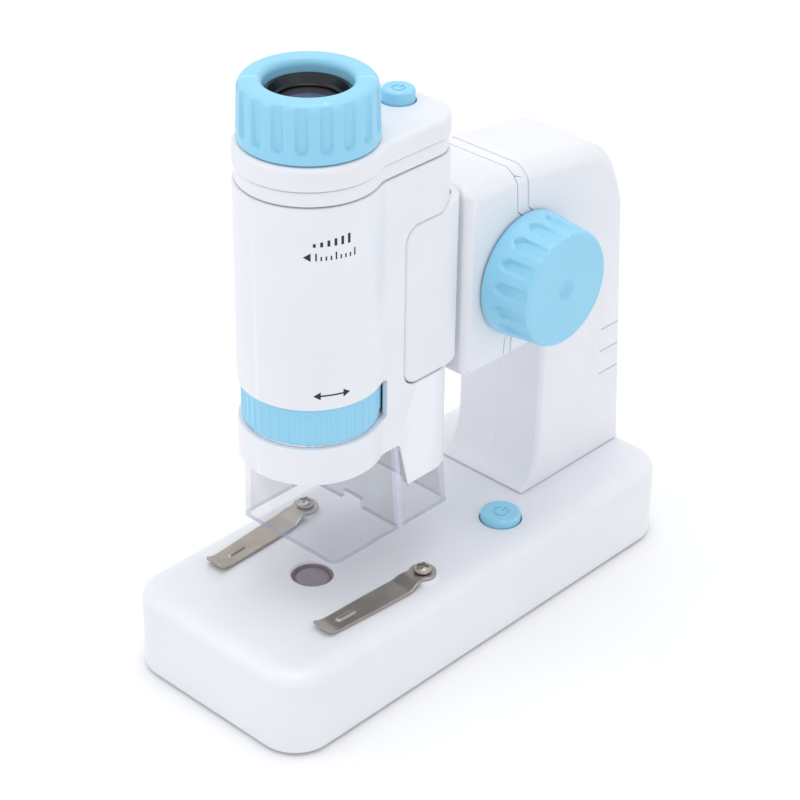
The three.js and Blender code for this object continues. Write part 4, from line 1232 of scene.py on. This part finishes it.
def eyepiece_ring():
    low, high = local_box("eyepiece_ring")
    bottom, top = low.z, high.z
    outer_low, outer_high, lip = RING_LOW_RADIUS, RING_HIGH_RADIUS, RING_LIP
    foot = bottom + 0.7
    profile = [(RING_BORE, bottom), (outer_low - 0.7, bottom)]
    profile += [(outer_low - 0.2, bottom + 0.2), (outer_low, foot)]
    side_steps = 26
    for k in range(1, side_steps + 1):
        t = k / side_steps
        profile.append((outer_low + (outer_high - outer_low) * t, foot + (top - lip - foot) * t))
    for a in quadrant(12, 1):
        profile.append((outer_high - RING_SHOULDER * (1 - math.cos(a)), top - lip + lip * math.sin(a)))
    for a in quadrant(8):
        inner = RING_WELL + RING_WELL_ROUNDING * (1 - math.sin(a))
        profile.append((inner, top - RING_WELL_FALL * (1 - math.cos(a))))
    seat = BARREL_TOP + NECK_HEIGHT + 0.5
    profile += [(RING_WELL, seat), (RING_BORE, seat)]
    flutes = grooves(RING_FLUTES, outer_low - RING_FLUTE_DEPTH, 0.6, bottom + 2.8, 2.0)
    solid = turned(profile, RING_FLUTES * 18, closed=True, shape=flutes)
    ring = build("eyepiece_ring_looks", solid, BLUE)
    finished(ring, "zoom_ring_body", ["eyepiece_ring"], 35)


def eyepiece_cell():
    low, high = local_box("eyepiece_cell")
    outer = high.x
    bottom, top = low.z, high.z
    stepped = [
        (outer, 0.3), (outer - 0.2, 0.05), (outer - 0.5, 0), (outer - 0.9, 0.1), (9.7, 2.3),
        (9.5, 2.5), (9.1, 2.5), (8.95, 2.6), (8.9, 3.3), (8.75, 3.5), (8.3, 3.5), (8.05, 3.7), (8, 4.3),
    ]
    profile = [(8, bottom), (outer, bottom)] + [(radius, top - sunk) for radius, sunk in stepped]
    cell = build("eyepiece_cell_looks", turned(profile, 96, closed=True), BLACK)
    finished(cell, "zoom_ring_body", ["eyepiece_cell"], 35)


def eyepiece_lens():
    low, high = local_box("eyepiece_lens")
    radius = high.x
    edge = high.z - 0.5
    dome = [(radius * math.cos(a), edge + 0.5 * math.sin(a)) for a in quadrant(10)]
    profile = [(0, low.z), (radius - 0.2, low.z), (radius, low.z + 0.2), *dome]
    lens = build("eyepiece_lens_looks", turned(profile, 72), LENS)
    finished(lens, "zoom_ring_body", ["eyepiece_lens"])


def focus_ring():
    low, high = local_box("focus_ring")
    radius = high.x
    bottom, top = low.z, high.z
    steps = 24
    side = [(bottom + 0.5 + (top - bottom - 1) * k / steps, 0) for k in range(1, steps)]
    levels = lower_rim(bottom) + side + upper_rim(top)
    profile = [(15, bottom), *[(radius - inset, z) for z, inset in levels], (15, top)]
    middle = (bottom + top) / 2
    reach = (top - bottom) / 2 - 1.5

    def ribs(angle, r, z):
        if r < radius - 0.6:
            return r
        off = abs((angle * FOCUS_RIBS / math.tau) % 1 - 0.5)
        rib = (1 - smooth(0.08, 0.2, off)) * (1 - smooth(reach - 0.5, reach, abs(z - middle)))
        return r - FOCUS_RIB_HEIGHT * (1 - rib)

    solid = turned(profile, FOCUS_RIBS * 16, closed=True, shape=ribs)
    ring = build("focus_ring_looks", solid, BLUE)
    finished(ring, "focus_ring_body", ["focus_ring"], 35)


# ---- CAD pieces that stay ----


def dress_cad_nodes():
    """Pieces mostly out of sight keep their CAD shape and take their slot's finish."""
    slots = {part["node"]: part["material_slot"] for part in frame["record"]["subparts"]}
    for node, obj in frame["nodes"].items():
        if obj.hide_render:
            continue
        obj.data.materials.clear()
        obj.data.materials.append(SLOT_MATERIALS[slots[node]])


# ---- light, floor and camera ----


def studio():
    world = bpy.data.worlds.new("studio")
    bpy.context.scene.world = world
    world.use_nodes = True
    background = world.node_tree.nodes["Background"]
    background.inputs["Color"].default_value = (0.97, 0.98, 1.0, 1)
    background.inputs["Strength"].default_value = 0.88
    target = Vector(LIGHT_TARGET)
    for name, place, size, power in LIGHTS:
        light = bpy.data.lights.new(name, "AREA")
        light.size = size * MM
        light.energy = power
        lamp = bpy.data.objects.new(name, light)
        lamp.location = Vector(place) * MM
        lamp.rotation_euler = (target - Vector(place)).to_track_quat("-Z", "Y").to_euler()
        bpy.context.collection.objects.link(lamp)
    outline = box_outline(-FLOOR_HALF, FLOOR_HALF, -FLOOR_HALF, FLOOR_HALF, 400, 16)
    floor = build("floor", rise(outline, -STAGE_Z - 10, -STAGE_Z), paper_floor())


def camera():
    azimuth = math.radians(CAMERA_AZIMUTH)
    elevation = math.radians(CAMERA_ELEVATION)
    roll = math.radians(CAMERA_ROLL)
    level = math.cos(elevation)
    back = Vector((math.sin(azimuth) * level, -math.cos(azimuth) * level, math.sin(elevation)))
    right = Vector((math.cos(azimuth), math.sin(azimuth), 0))
    up = back.cross(right)
    across_axis = math.cos(roll) * right + math.sin(roll) * up
    up_axis = math.cos(roll) * up - math.sin(roll) * right
    data = bpy.data.cameras.new("camera")
    data.sensor_width = 36
    data.lens = CAMERA_LENS
    data.clip_start, data.clip_end = 0.05, 20
    eye = bpy.data.objects.new("camera", data)
    place = Matrix((across_axis, up_axis, back)).transposed().to_4x4()
    place.translation = Vector(CAMERA_PLACE) * MM
    eye.matrix_world = place
    bpy.context.collection.objects.link(eye)
    bpy.context.scene.camera = eye
    bpy.context.scene.view_settings.view_transform = "Standard"


camera()
base_shell()
stage_window()
push_button("base_power_button_looks", "base_power_button", "base_button_body", BASE_BUTTON_RADIUS)
push_button("barrel_power_button_looks", "barrel_power_button", "barrel_button_body", TOP_BUTTON_RADIUS)
for clip_side, clip_name in ((-1, "left"), (1, "right")):
    stage_clip(clip_side, clip_name)
    clip_screw(clip_name)
    knob(clip_side, clip_name)
arm()
barrel_shell()
barrel_band()
top_cap()
printed_marks()
cradle()
clear_hood()
eyepiece_ring()
eyepiece_cell()
eyepiece_lens()
focus_ring()
dress_cad_nodes()
studio()
